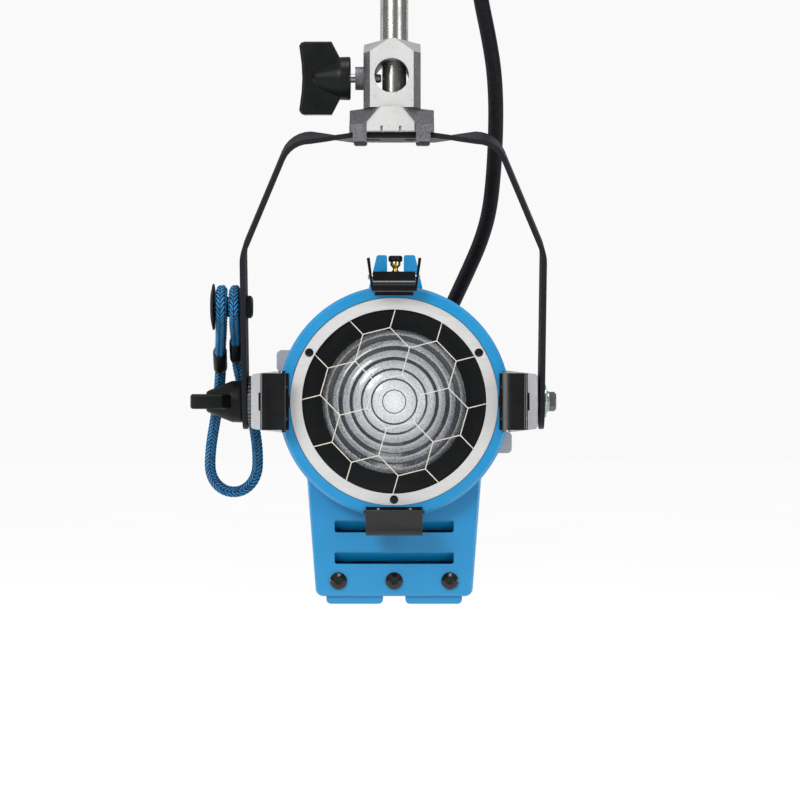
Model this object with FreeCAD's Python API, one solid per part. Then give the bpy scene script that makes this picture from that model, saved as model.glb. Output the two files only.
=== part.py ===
# Small studio fresnel spotlight hung from a 16 mm spigot in a raked stirrup.
# Millimetres. +Z up, the lens faces -Y, +X is the viewer's right when looking
# at the lens. The origin is on the spigot's axis, at the bottom shoulder of
# its free gripping length.
import FreeCAD, Part
import os, math

os.makedirs("parts", exist_ok=True)
V = FreeCAD.Vector

# ---------------------------------------------------------------- dimensions
SPIGOT_R = 8.0            # 16 mm (5/8 in) studio spigot
SPIGOT_FREE = 38.0        # free gripping length above the shoulder groove
SPIGOT_GROOVE_R = 7.0     # safety groove and waist radius
ZB = -160.0               # top face of the socket block
BLOCK_H = 39.5            # socket block height
LOCK_Z = ZB - 21.3        # axis of the lock screw and of the window
SADDLE_H = 14.4           # saddle under the block
BAR_Z = ZB - 55.5         # mid plane of the stirrup's crossbar
STRAP_T = 3.0             # stirrup strap thickness
STRAP_W = 28.0            # stirrup strap width
RAKE = 15.0               # the arms lean back by this many degrees
YOKE_X0 = -0.6            # the stirrup sits this far off the spigot's axis
ARM_X = 87.7              # half distance between the arms' mid planes
ZL = ZB - 208.0           # lens axis
PY = (BAR_Z - ZL) * math.tan(math.radians(RAKE))   # tilt axis, Y
RING_R = 65.0             # 130 mm accessory diameter
DOOR_Y0, DOOR_Y1 = -49.0, -37.6     # lens door, front and back face
HOUSE_Y0, HOUSE_Y1 = -30.0, 70.0    # extruded housing
HOUSE_R, HOUSE_T = 60.0, 2.6
FRAME_Y0 = -37.3
LENS_R = 42.0
BASE_Y1 = 75.0
CABLE_R = 4.5
ROPE_R = 3.3
HEX_EDGE = 15.7           # edge of the wire guard's hexagons
HINGE = (68.5, -34.5)     # lens door hinge axis (X, Y)
LATCH = (-51.8, 69.5)     # top latch axis (Y, height over the lens axis)
PLUNGER = (0.7, -32.6)    # door lock plunger axis (X, Y)

nodes = {}

# ------------------------------------------------------------------- helpers
def box(x0, x1, y0, y1, z0, z1):
    return Part.makeBox(x1 - x0, y1 - y0, z1 - z0, V(x0, y0, z0))

def cyl(p, d, r, h):
    return Part.makeCylinder(r, h, V(*p), V(*d))

def cone(p, d, r1, r2, h):
    return Part.makeCone(r1, r2, h, V(*p), V(*d))

def poly(pts, vec):
    w = Part.makePolygon([V(*p) for p in pts] + [V(*pts[0])])
    return Part.Face(w).extrude(V(*vec))

def pxz(pts, y0, y1):
    return poly([(x, y0, z) for x, z in pts], (0, y1 - y0, 0))

def pyz(pts, x0, x1):
    return poly([(x0, y, z) for y, z in pts], (x1 - x0, 0, 0))

def pxy(pts, z0, z1):
    return poly([(x, y, z0) for x, y in pts], (0, 0, z1 - z0))

def fuse(*s):
    s = list(s)
    out = s[0].fuse(s[1:]) if len(s) > 1 else s[0]
    try:
        out = out.removeSplitter()
    except Exception:
        pass
    return out

def cut(a, *b):
    out = a.cut(list(b))
    return out

def disc_y(r, y0, y1, x=0.0, dz=0.0):
    return cyl((x, y0, ZL + dz), (0, 1, 0), r, y1 - y0)

def ring_y(ro, ri, y0, y1):
    return disc_y(ro, y0, y1).cut(disc_y(ri, y0 - 1, y1 + 1))

def turned_y(prof):
    """revolve (radius, y) points about the lens axis"""
    pts = [V(r, y, ZL) for r, y in prof]
    w = Part.makePolygon(pts + [pts[0]])
    return Part.Face(w).revolve(V(0, 0, ZL), V(0, 1, 0), 360)

def turned_x(prof, y, z):
    """revolve (x, radius) points about an axis along X"""
    pts = [V(x, y, z + r) for x, r in prof]
    w = Part.makePolygon(pts + [pts[0]])
    return Part.Face(w).revolve(V(0, y, z), V(1, 0, 0), 360)

def turned_z(prof, x, y):
    pts = [V(x + r, y, z) for r, z in prof]
    w = Part.makePolygon(pts + [pts[0]])
    return Part.Face(w).revolve(V(x, y, 0), V(0, 0, 1), 360)

def fillet(s, r, test):
    es = [e for e in s.Edges if test(e)]
    if not es:
        return s
    try:
        f = s.makeFillet(r, es)
        return f if f.isValid() else s
    except Exception:
        return s

def along(e, ax, tol=1e-6):
    if not isinstance(e.Curve, Part.Line):
        return False
    d = e.Curve.Direction
    return abs(abs(getattr(d, ax)) - 1) < tol

def turn_y(s, deg):
    s = s.copy()
    s.rotate(V(0, 0, ZL), V(0, 1, 0), deg)
    return s

def put(name, s):
    if s.ShapeType == "Compound" and len(s.Solids) == 1:
        s = s.Solids[0]
    nodes[name] = s

def route(pts, r, name, radii=None):
    """a tube along straight runs joined by tangent arcs"""
    P = [V(*p) for p in pts]
    edges, cur, rad = [], P[0], []
    for i in range(1, len(P) - 1):
        a, b = P[i - 1] - P[i], P[i + 1] - P[i]
        la, lb = a.Length, b.Length
        a, b = a / la, b / lb
        turn = math.pi - a.getAngle(b)
        t = 0.45 * min(la, lb)
        R = t / math.tan(turn / 2)
        rad.append(R)
        s, e = P[i] + a * t, P[i] + b * t
        bis = (a + b)
        bis = bis / bis.Length
        c = P[i] + bis * (R / math.cos(turn / 2))
        m = c - bis * R
        edges.append(Part.LineSegment(cur, s).toShape())
        edges.append(Part.Arc(s, m, e).toShape())
        cur = e
    edges.append(Part.LineSegment(cur, P[-1]).toShape())
    w = Part.Wire(edges)
    d = P[1] - P[0]
    prof = Part.Wire([Part.Circle(P[0], d, r).toShape()])
    s = w.makePipeShell([prof], True, True)
    if s.ShapeType != "Solid":
        s = Part.Solid(Part.Shell(s.Faces))
    print("%s: length %.1f, volume/(section*length) %.4f, radii %s" % (
        name, w.Length, s.Volume / (math.pi * r * r * w.Length),
        " ".join("%.0f" % q for q in rad)))
    return s

def hexprism(p, d, af, h):
    """hexagonal prism, af across flats, from p along d (X, Y or Z axis)"""
    R = af / math.sqrt(3)
    d = V(*d)
    u = V(0, 0, 1) if abs(d.z) < 0.5 else V(1, 0, 0)
    v = d.cross(u)
    pts = [V(*p) + u * (R * math.cos(math.radians(60 * k))) +
           v * (R * math.sin(math.radians(60 * k))) for k in range(6)]
    return Part.Face(Part.makePolygon(pts + [pts[0]])).extrude(d * h)

# -------------------------------------------------------------------- spigot
c = SPIGOT_R
put("spigot", turned_z([
    (0, ZB - 36.5), (6.4, ZB - 36.5), (c, ZB - 34.5), (c, ZB - 30.8),
    (SPIGOT_GROOVE_R, ZB - 29.8), (SPIGOT_GROOVE_R, ZB - 12.8), (c, ZB - 11.8),
    (c, -6.0), (SPIGOT_GROOVE_R, -6.0), (SPIGOT_GROOVE_R, 0.0), (c, 0.0),
    (c, SPIGOT_FREE - 1.5), (c - 1.5, SPIGOT_FREE), (0, SPIGOT_FREE)], 0, 0))

# -------------------------------------------------------------- socket block
BX0, BX1 = -17.7, 15.2
def beyond(a, b, c, out):
    """the half space on the far side of the plane through three points, towards out"""
    n = (V(*b) - V(*a)).cross(V(*c) - V(*a))
    n.normalize()
    if n.dot(V(*out)) < 0:
        n = n * -1
    p = Part.makePlane(200, 200, V(*a), n)
    p.translate(V(*a) - p.CenterOfMass)
    return p.extrude(n * 80)
body = box(BX0, BX1, -16.0, 16.0, ZB - BLOCK_H, ZB)
body = fillet(body, 2.0, lambda e: along(e, "z") and e.BoundBox.YMin > 0)
for xe, xo, top in ((-13.9, BX0, -3.8), (11.1, BX1, 1.6)):
    s_ = -1 if xe < 0 else 1
    body = body.cut(beyond((xe, -16, ZB - 30), (xe, -16, ZB), (xo, -8.5, ZB), (s_, -1, 0)))
    body = body.cut(beyond((xe, -16, ZB - 7.6), (top, -16, ZB - 0.8), (xo, -8.5, ZB - 7.6), (s_, -1, 1)))
low = box(-25.8, 22.9, -18.0, 18.0, ZB - BLOCK_H - SADDLE_H, ZB - BLOCK_H)
low = low.cut(box(-30, 30, -14.2, 14.2, BAR_Z - 10, BAR_Z + STRAP_T / 2))
ramp = pxz([(-15.8, ZB - 49.4), (-7.3, ZB - BLOCK_H), (3.4, ZB - BLOCK_H),
            (11.5, ZB - 49.4), (11.5, ZB - 53.4), (-15.8, ZB - 53.4)], -19.2, -17.5)
low = fuse(low, ramp)
for xe, xo, top in ((-15.8, -25.8, -7.3), (11.5, 22.9, 3.4)):
    s_ = -1 if xe < 0 else 1
    far = beyond((xe, -19.2, ZB - 49.4), (top, -19.2, ZB - BLOCK_H), (xo, -7.0, ZB - 49.4), (s_, -1, 1))
    low = low.cut(far.common(box(-40, 40, -40, 40, ZB - 49.4, ZB)))
    low = low.cut(beyond((xo - s_ * 5.0, -18, ZB - 50), (xo - s_ * 5.0, -18, ZB), (xo, -14.6, ZB), (s_, -1, 0)).common(
        box(-40, 40, -40, 0, ZB - 60, ZB - 49.4)))
nick1 = box(-7.9, -6.5, -20, -17.6, ZB - 53.9, ZB - 50.6)
nick2 = box(2.7, 4.1, -20, -17.6, ZB - 53.9, ZB - 50.6)
feet = []
for x0, x1 in ((-23.7, -15.8), (12.5, 20.8)):
    for y0, y1 in ((-18.0, -14.3), (14.3, 18.0)):
        f = box(x0, x1, y0, y1, ZB - 58.7, ZB - 53.8)
        feet.append(fillet(f, 1.4, lambda e: along(e, "y") and e.BoundBox.ZMax < ZB - 58))
boss = cyl((-22.5, 0, LOCK_Z), (1, 0, 0), 6.7, 6.0)
blk = fuse(body, low, boss, *feet)
blk = blk.cut(fuse(nick1, nick2))
blk = cut(blk, cyl((0, 0, ZB - 37.5), (0, 0, 1), SPIGOT_R + 0.06, 60),
          cyl((-1.5, -30, LOCK_Z), (0, 1, 0), 9.85, 60),
          cyl((-30, 0, LOCK_Z), (1, 0, 0), 2.6, 30))
for sx in (-12.5, 10.0):
    blk = blk.cut(cyl((sx, 0, BAR_Z), (0, 0, 1), 2.55, 12))
put("socket_block", blk)
bolts = []
for sx in (-12.5, 10.0):
    b = fuse(cyl((sx, 0, BAR_Z - 1.5), (0, 0, 1), 2.5, 12),
             turned_z([(0, BAR_Z - 2.5), (3.9, BAR_Z - 2.5), (4.6, BAR_Z - 1.9),
                       (4.6, BAR_Z - 1.5), (0, BAR_Z - 1.5)], sx, 0))
    bolts.append(b.cut(hexprism((sx, 0, BAR_Z - 3), (0, 0, 1), 3.0, 2.6)))
put("block_bolts", Part.makeCompound(bolts))

# ------------------------------------------------------------------- stirrup
rk = math.radians(RAKE)
def strap_point(x, drop):
    """x across, drop = height below the crossbar's mid plane"""
    return V(YOKE_X0 + x, drop * math.tan(rk), BAR_Z - drop)

def section(x, drop, ang, twist):
    """ang: direction of the path below horizontal, degrees, in the raked plane"""
    tw = math.radians(twist)
    wv = V(0, math.cos(tw), math.sin(tw))
    dn = V(0, math.sin(tw), -math.cos(tw))
    a = math.radians(ang)
    t = V(math.cos(a), 0, 0) + dn * math.sin(a)
    n = V(-math.sin(a), 0, 0) + dn * math.cos(a)
    p = strap_point(x, drop)
    hw, ht = STRAP_W / 2, STRAP_T / 2
    q = [p + wv * hw + n * ht, p - wv * hw + n * ht, p - wv * hw - n * ht, p + wv * hw - n * ht]
    return q

SLANT = 66.9              # slanted arm, degrees below horizontal
R1 = 17.0                 # shoulder radius
cx = 59.2                 # crossbar line meets the slanted line here
t1 = R1 * math.tan(math.radians(SLANT / 2))
secs = [(0, 0, 0, 0), (24.0, 0, 0, 0), (31, 0, 0, 4), (38, 0, 0, 9), (cx - t1, 0, 0, RAKE)]
for k in range(1, 7):
    a = SLANT * k / 6
    x = cx - t1 + R1 * math.sin(math.radians(a))
    s = R1 * (1 - math.cos(math.radians(a)))
    secs.append((x, s * math.cos(rk), a, RAKE))
R2 = 22.0
t2 = R2 * math.tan(math.radians((90 - SLANT) / 2))
sl = math.radians(SLANT)
ks = (ARM_X - cx) * math.tan(sl)            # raked distance of the knee
for k in range(0, 5):
    a = SLANT + (90 - SLANT) * k / 4
    c0x = ARM_X - R2
    x0 = ARM_X - R2 + R2 * math.sin(math.radians(a))
    s0 = ks + t2 - R2 * math.cos(math.radians(a))
    secs.append((x0, s0 * math.cos(rk), a, RAKE))
end_drop = (BAR_Z - ZL) + 2.4
secs.append((ARM_X, end_drop, 90, RAKE))

def strap_half(sign):
    shapes = []
    wires = []
    for x, d, a, tw in secs:
        q = section(x, d, a, tw)
        if sign < 0:
            q = [V(2 * YOKE_X0 - p.x, p.y, p.z) for p in q]
        wires.append(q)
    for w0, w1 in zip(wires[:-1], wires[1:]):
        shapes.append((w0, w1))
    # one ruled loft over all sections
    ws = [Part.makePolygon(w + [w[0]]) for w in wires]
    return Part.makeLoft(ws, True, True)

def arm_end(sign):
    x = YOKE_X0 + sign * ARM_X
    p = strap_point(sign * ARM_X, end_drop)
    return cyl((x - STRAP_T / 2, p.y, p.z), (1, 0, 0), STRAP_W / 2, STRAP_T)

yk = fuse(strap_half(1), strap_half(-1), arm_end(1), arm_end(-1))
yk = cut(yk, cyl((-100, PY, ZL), (1, 0, 0), 4.3, 40), cyl((60, PY, ZL), (1, 0, 0), 3.3, 40))
SP_Z = 55.6               # rope holder above the tilt axis
SP_Y = (BAR_Z - ZL - SP_Z) * math.tan(rk)
yk = cut(yk, cyl((-100, SP_Y, ZL + SP_Z), (1, 0, 0), 3.05, 40))
for sx in (-12.5, 10.0):
    yk = yk.cut(cyl((sx, 0, BAR_Z - 5), (0, 0, 1), 2.6, 12))
put("yoke_stirrup", yk)
AXL, AXR = YOKE_X0 - ARM_X, YOKE_X0 + ARM_X       # arms' mid planes
print("arms", AXL, AXR, "pivot Y", PY, "yoke", yk.isValid(), len(yk.Solids))

# -------------------------------------------------------------------- knobs
def knob(x_face, y, z, wing_deg):
    """T-knob pointing to -X, its hub face at x_face"""
    hub = turned_x([(x_face, 0), (x_face, 12.0), (x_face - 0.8, 12.5), (x_face - 6.2, 12.3),
                    (x_face - 20.6, 6.4), (x_face - 21.4, 5.6), (x_face - 21.4, 0)], y, z)
    o = x_face
    wing = [(o - 26.4, 21.0), (o - 10.9, 21.0), (o - 6.2, 12.0), (o - 6.2, -12.0),
            (o - 10.9, -21.0), (o - 26.4, -21.0), (o - 28.4, -20.4), (o - 29.6, -18.6), (o - 28.2, -8.0),
            (o - 27.8, 0.0), (o - 28.2, 8.0), (o - 29.6, 18.6), (o - 28.4, 20.4)]
    w = pxz([(px, z + pz) for px, pz in wing], y - 4.4, y + 4.4)
    w = fillet(w, 1.6, lambda e: e.BoundBox.YLength < 1e-3)
    s = fuse(hub, w)
    s = s.cut(cyl((x_face - 16, y, z), (1, 0, 0), 2.5 if x_face > -60 else 4.0, 30))
    s.rotate(V(0, y, z), V(1, 0, 0), wing_deg)
    return s

put("lock_knob", knob(-25.3, 0, LOCK_Z, 0))
put("lock_stud", cyl((-41.3, 0, LOCK_Z), (1, 0, 0), 2.5, 41.3 - 8.4).fuse(
    cone((-8.4, 0, LOCK_Z), (1, 0, 0), 2.5, 1.9, 0.9)))
KX = AXL - STRAP_T / 2 - 0.3
put("tilt_knob", knob(KX, PY, ZL, 90))
put("tilt_stud", cyl((KX - 16, PY, ZL), (1, 0, 0), 4.0, 16 - KX - 70))

# ----------------------------------------------------- safety rope and holder
sx0 = AXL - STRAP_T / 2
put("rope_spool", fuse(cyl((sx0 - 16.2, SP_Y, ZL + SP_Z), (1, 0, 0), 6.0, 16.2),
    turned_x([(sx0 - 18.0, 0), (sx0 - 18.0, 8.5), (sx0 - 16.9, 13.6), (sx0 - 16.0, 13.6),
              (sx0 - 16.2, 0)], SP_Y, ZL + SP_Z)).cut(
    cyl((-120, SP_Y, ZL + SP_Z), (1, 0, 0), 3.0, 40)))
put("rope_spool_bolt", fuse(cyl((sx0 - 16.5, SP_Y, ZL + SP_Z), (1, 0, 0), 3.0, 16.5 + STRAP_T + 1),
    turned_x([(sx0 + 3.0, 0), (sx0 + 3.0, 6.8), (sx0 + 5.6, 6.6), (sx0 + 6.6, 5.2), (sx0 + 6.6, 0)],
             SP_Y, ZL + SP_Z)))

def sleeve(x, top, axis, ln, hw, hd):
    """oval crimp sleeve: centre of its top face, axis (Y, Z), length, half sizes"""
    ay, az = axis
    s = box(-hw, hw, -hd, hd, 0, ln)
    s = fillet(s, hw * 0.8, lambda e: along(e, "z"))
    ang = math.degrees(math.atan2(ay, -az))      # lean back from straight down
    s.translate(V(0, 0, -ln))
    s.rotate(V(0, 0, 0), V(1, 0, 0), ang)
    s.translate(V(x, top[0], ZL + top[1]))
    return s

EYE_R = 9.75
def eye_points(x_spool, x_sleeve, top, axis, half):
    """control points of a rope eye round the spool, from sleeve to sleeve"""
    cy, cz = SP_Y, SP_Z
    ay, az = axis
    n = (-az, ay)                       # points to the back of the sleeve
    A = (top[0] - n[0] * half, top[1] - n[1] * half)
    B = (top[0] + n[0] * half, top[1] + n[1] * half)
    def tangent(P, side):
        dy, dz = P[0] - cy, P[1] - cz
        d = math.hypot(dy, dz)
        base = math.atan2(dz, dy)
        off = math.acos(EYE_R / d)
        return base + side * off
    aA, aB = tangent(A, -1), tangent(B, 1)
    while aA > aB:
        aA -= 2 * math.pi
    while aA + 2 * math.pi < aB:
        aA += 2 * math.pi
    # go round the far side, from aA down to aB - 360
    a0, a1 = aA, aB - 2 * math.pi
    m = 4
    st = (a1 - a0) / m
    R = EYE_R / math.cos(st / 2)
    out = [(x_sleeve, A[0], A[1]), (x_sleeve + 0.3 * (x_spool - x_sleeve), A[0] - 4.2 * ay, A[1] - 4.2 * az)]
    for k in range(m):
        a = a0 + st * (k + 0.5)
        out.append((x_spool, cy + R * math.cos(a), cz + R * math.sin(a)))
    out.append((x_sleeve + 0.3 * (x_spool - x_sleeve), B[0] - 4.2 * ay, B[1] - 4.2 * az))
    out.append((x_sleeve, B[0], B[1]))
    return out

LAX = (0.5, -0.866)
LTOP, RTOP = (50.6, 30.0), (47.6, 36.0)
eyes, sleeves = [], []
for nm, xs, xq, top in (("left", -101.4, -104.3, LTOP), ("right", -93.6, -94.4, RTOP)):
    pts = eye_points(xs, xq, top, LAX, 3.5)
    print("EYE", nm, [tuple(round(v, 2) for v in p) for p in pts])
    eyes.append(route([(x, y, ZL + z) for x, y, z in pts], ROPE_R, "rope_eye_" + nm))
    sleeves.append(sleeve(xq, top, LAX, 12.2, 4.2, 7.1))
put("rope_eyes", Part.makeCompound(eyes))
put("rope_sleeves", Part.makeCompound(sleeves))
LB = (-104.3, LTOP[0] + 12.2 * 0.5, LTOP[1] - 12.2 * 0.866)
RB = (-94.4, RTOP[0] + 12.2 * 0.5, RTOP[1] - 12.2 * 0.866)
ROPE = [LB, (-105.6, 64.6, 4.6), (-108.4, 70.2, -11.0), (-111.4, 71.6, -28.0),
        (-112.0, 71.8, -44.9), (-103.6, 71.8, -54.6), (-91.6, 71.8, -54.8), (-83.0, 71.8, -45.4),
        (-82.8, 71.6, -29.0), (-85.2, 70.0, -12.6), (-89.4, 65.6, 3.4), (-93.4, 59.6, 15.4), RB]
put("rope_loop", route([(x, y, ZL + z) for x, y, z in ROPE], ROPE_R, "rope_loop"))
print("ROPE ends", LB, RB)

# --------------------------------------------------------------- power cable
CABLE = [(-12.0, 111.0, -77.0), (-12.2, 133.0, -78.5), (-9.5, 151.0, -68.0), (-4.0, 158.5, -45.0),
         (3.5, 151.5, -19.5), (13.0, 136.0, 6.0), (23.0, 119.0, 31.0), (33.5, 101.0, 55.5),
         (44.3, 84.0, 78.5), (52.4, 70.5, 97.0), (57.2, 59.5, 114.5), (59.2, 48.5, 136.0),
         (60.0, 39.5, 157.5), (60.0, 33.5, 177.5), (58.6, 29.5, 197.0), (55.0, 26.8, 217.0),
         (50.6, 24.8, 237.0), (48.2, 23.4, 257.0), (47.9, 23.0, 277.0)]
put("power_cable", route([(x, y, ZL + z) for x, y, z in CABLE], CABLE_R, "power_cable"))
CO_Y, CO_Z = 23.0, ZB + 92.0
coil = cyl((0, CO_Y - 9, CO_Z), (0, 1, 0), 57.0, 18).cut(cyl((0, CO_Y - 12, CO_Z), (0, 1, 0), 39.0, 24))
put("cable_coil", coil)
st = fuse(box(-10, 10, 11.4, 33.6, CO_Z + 36.6, CO_Z + 59.4),
          cyl((0, 0, CO_Z + 38.0), (0, 0, 1), 10.8, 20), box(-5.5, 5.5, 8, 12, CO_Z + 38.0, CO_Z + 58.0))
st = cut(st, box(-11, 11, 13.0, 33.0 - 1.0, CO_Z + 38.2, CO_Z + 57.8),
         cyl((0, 0, CO_Z + 30), (0, 0, 1), 8.6, 40),
         cyl((0, CO_Y - 9, CO_Z), (0, 1, 0), 57.05, 18).cut(cyl((0, CO_Y - 12, CO_Z), (0, 1, 0), 38.95, 24)))
put("cable_strap", st)
# plug behind the coil's top, its pins pointing to -X
PLY, PLZ = CO_Y + 9 + 14.2, CO_Z + 47.0
pb = turned_x([(2, 0), (2, 5.6), (-20, 9.0), (-24, 13.0), (-46, 14.0), (-47, 13.2), (-47, 0)], PLY, PLZ)
put("plug_body", pb)
pins = [cyl((-66, PLY, PLZ + dz), (1, 0, 0), 2.4, 19) for dz in (-9.5, 9.5)]
put("plug_pins", Part.makeCompound(pins))

# ------------------------------------------------------------ head: housing
shell = ring_y(HOUSE_R, HOUSE_R - HOUSE_T, HOUSE_Y0, HOUSE_Y1)
fins = []
for a in (28, 40, 52, 64, 76, 90, 104, 116, 128, 140, 152):
    f = box(HOUSE_R - 1.0, 63.6, HOUSE_Y0, HOUSE_Y1, -1.1, 1.1)
    f.rotate(V(0, 0, 0), V(0, 1, 0), -a)
    f.translate(V(0, 0, ZL))
    fins.append(f)
tabL = box(-66.6, -50.0, HOUSE_Y0, HOUSE_Y1, ZL + 17.2, ZL + 29.2)
tabL = fillet(tabL, 2.4, lambda e: along(e, "y") and e.BoundBox.XMax < -60)
tabR = box(50.0, 66.6, HOUSE_Y0, HOUSE_Y1, ZL - 29.2, ZL - 17.2)
tabR = fillet(tabR, 2.4, lambda e: along(e, "y") and e.BoundBox.XMin > 60)
inner = disc_y(HOUSE_R - HOUSE_T, HOUSE_Y0 - 1, HOUSE_Y1 + 1)
tabs = fuse(tabL, tabR).cut(inner)
shell = fuse(shell, tabs, *fins)
shell = shell.cut(box(-36, 36, -18, 62, ZL - 70, ZL - 40))       # opening into the base
for k in range(5):                                                # top vents
    y0 = -14 + 15 * k
    for xa in (-16, 0, 16):
        shell = shell.cut(box(xa - 4.6 if xa else -4.4, xa + 4.6 if xa else 4.4, y0, y0 + 8, ZL + 40, ZL + 70))
put("housing_shell", shell)

ff = ring_y(64.0, 52.0, FRAME_Y0, HOUSE_Y0)
ff = ff.cut(box(-6.5, 8, FRAME_Y0 - 1, HOUSE_Y0 + 1, ZL + 58.4, ZL + 70))
put("front_frame", ff)

rc = turned_y([(0, 88.0), (54, 88.0), (60, 85.0), (62.5, 79.0), (62.5, 70.0), (59.6, 70.0), (59.6, 79.0),
               (57.6, 83.0), (53, 85.4), (0, 85.4)])
for k in range(4):
    rc = rc.cut(box(-30 + 3 * abs(k - 1.5), 30 - 3 * abs(k - 1.5), 80, 92, ZL + 8 + 10 * k, ZL + 12 + 10 * k))
put("rear_cover", rc)
rs = []
for a in (60, 120, 240, 300):
    x, z = 48 * math.cos(math.radians(a)), 48 * math.sin(math.radians(a))
    rs.append(fuse(disc_y(3.4, 88.0, 90.2, x, z), disc_y(1.9, 84.0, 88.0, x, z)).cut(
        hexprism((x, 89.0, ZL + z), (0, 1, 0), 2.6, 3)))
for x_z in rs:
    rc = rc.cut(disc_y(1.95, 80, 90, x_z.BoundBox.Center.x, x_z.BoundBox.Center.z - ZL))
put("rear_cover", rc)

# --------------------------------------------------------------- head: base
def trap(inset, z_low):
    return [(-49.4 + inset, -40), (49.4 - inset, -40), (44.0 - inset, z_low), (-44.0 + inset, z_low)]
outer = pxz([(x, ZL + z) for x, z in trap(0, -109.8)], FRAME_Y0, BASE_Y1)
outer = fillet(outer, 4.5, lambda e: along(e, "y") and e.BoundBox.ZMax < ZL - 100)
outer = fillet(outer, 1.6, lambda e: e.BoundBox.YLength < 1e-3 and e.BoundBox.YMin < FRAME_Y0 + 0.1 and e.BoundBox.ZMin < ZL - 41)
cav = pxz([(x, ZL + z) for x, z in trap(2.6, -120)], FRAME_Y0 + 2.6, BASE_Y1 - 2.6)
base = outer.cut(cav)
base = base.cut(disc_y(64.05, -45, -29.95)).cut(disc_y(60.05, -30.5, 90)).cut(disc_y(62.6, 69.95, 90))
base = base.cut(box(-60, 60, -60, 100, ZL - 45.0 + 2.0, ZL - 30))
for z0, z1 in ((-73.8, -66.8), (-91.5, -84.6)):
    sl_ = box(-33.6, 33.6, -45, -30, ZL + z0, ZL + z1)
    base = base.cut(fillet(sl_, 1.5, lambda e: along(e, "y")))
SCX = (-31.4, 0.0, 31.4)
for x in SCX:
    base = base.cut(disc_y(2.05, -45, -30, x, -101.0))
GX, GZ = -12.0, -77.0
FX, FZ = 22.0, -80.0
base = base.cut(disc_y(7.0, 60, 90, GX, GZ)).cut(disc_y(4.1, 60, 90, FX, FZ))
for k in range(3):
    for sgn in (-1, 1):
        base = base.cut(box(sgn * 60 - 20, sgn * 60 + 20, -8, 48, ZL - 76 - 10 * k, ZL - 72 - 10 * k))
put("base_box", base)
scr = []
for x in SCX:
    s = fuse(disc_y(2.0, FRAME_Y0, FRAME_Y0 + 8, x, -101.0),
             disc_y(4.8, FRAME_Y0 - 1.2, FRAME_Y0, x, -101.0),
             cone((x, FRAME_Y0 - 1.2, ZL - 101.0), (0, -1, 0), 4.8, 2.6, 1.8))
    scr.append(s.cut(hexprism((x, FRAME_Y0 - 3.4, ZL - 101.0), (0, 1, 0), 3.0, 2.2)))
put("base_screws", Part.makeCompound(scr))
# louvre plate behind the front slots
FY = FRAME_Y0 + 2.65
lp = box(-37, 37, FY, FY + 1.0, ZL - 95.5, ZL - 66.0)
lp = lp.cut(disc_y(64.1, -45, -25))
for z0, z1 in ((-73.8, -66.8), (-91.5, -84.6)):
    lp = lp.cut(box(-34, 34, -45, -20, ZL + z0 - 0.2, ZL + z1 - 0.2))
    b = pyz([(FY, ZL + z1 + 0.6), (FY, ZL + z1 - 0.8), (FY + 5.2, ZL + z0 + 1.0), (FY + 6.0, ZL + z0 + 1.8),
             (FY + 1.2, ZL + z1 + 0.6)], -34.0, 34.0)
    lp = fuse(lp, b)
lp = lp.cut(disc_y(64.1, -45, -25.0)).cut(disc_y(60.1, -30, 20))
baffles = []
for sgn in (-1, 1):
    def wall_x(z, off):
        return sgn * (49.4 - 5.4 * (-40 - z) / 69.8 - 2.6 - off)
    def strip(z_top, z_bot, o0, o1):
        return pxz([(wall_x(z_top, o0), ZL + z_top), (wall_x(z_top, o1), ZL + z_top),
                    (wall_x(z_bot, o1), ZL + z_bot), (wall_x(z_bot, o0), ZL + z_bot)], -11.0, 51.0)
    baffles.append(fuse(strip(-69.0, -99.5, 4.0, 5.0), strip(-69.0, -70.2, 0.05, 5.0), strip(-98.3, -99.5, 0.05, 5.0)))
put("base_louvre", Part.makeCompound([lp] + baffles))
bp = pxz([(-41.3, ZL - 106.8), (41.3, ZL - 106.8), (41.15, ZL - 109.4), (-41.15, ZL - 109.4)],
         FRAME_Y0 + 2.7, BASE_Y1 - 2.7)
for x0, x1 in ((-38.3, -6.3), (6.3, 38.3)):
    r_ = box(x0, x1, FRAME_Y0 + 2.7, BASE_Y1 - 2.7, ZL - 114.2, ZL - 109.0)
    r_ = fillet(r_, 2.6, lambda e: along(e, "y") and e.BoundBox.ZMax < ZL - 113)
    bp = fuse(bp, r_)
for k in range(4):
    bp = bp.cut(box(-4, 4, -16 + 20 * k, -4 + 20 * k, ZL - 120, ZL - 100))
put("bottom_plate", bp)

# ---------------------------------------------------- head: pivot hardware
PB = [(84.2, 16.0), (66.0, 18.3), (50.0, 18.3), (50.0, -18.3), (66.0, -18.3), (84.2, -16.0)]
def pivot_block(sign, hole_r):
    s = pxz([(sign * x, ZL + z) for x, z in PB], PY - 16, PY + 16)
    s = fillet(s, 2.0, lambda e: along(e, "z") is False and e.BoundBox.XLength < 1e-3 and
               abs(abs(e.BoundBox.Center.x) - 84.2) < 0.1)
    s = s.cut(disc_y(HOUSE_R + 0.02, -40, 90))
    if sign < 0:
        s = s.cut(box(-68, -50, 0, 90, ZL + 16.9, ZL + 30))
    else:
        s = s.cut(box(50, 68, 0, 90, ZL - 30, ZL - 16.9))
    s = s.cut(cyl((sign * 90 if sign < 0 else 50, PY, ZL), (1, 0, 0), hole_r, 40))
    return s
pl = pivot_block(-1, 4.06)
pr = pivot_block(1, 3.0)
ps = []
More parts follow.
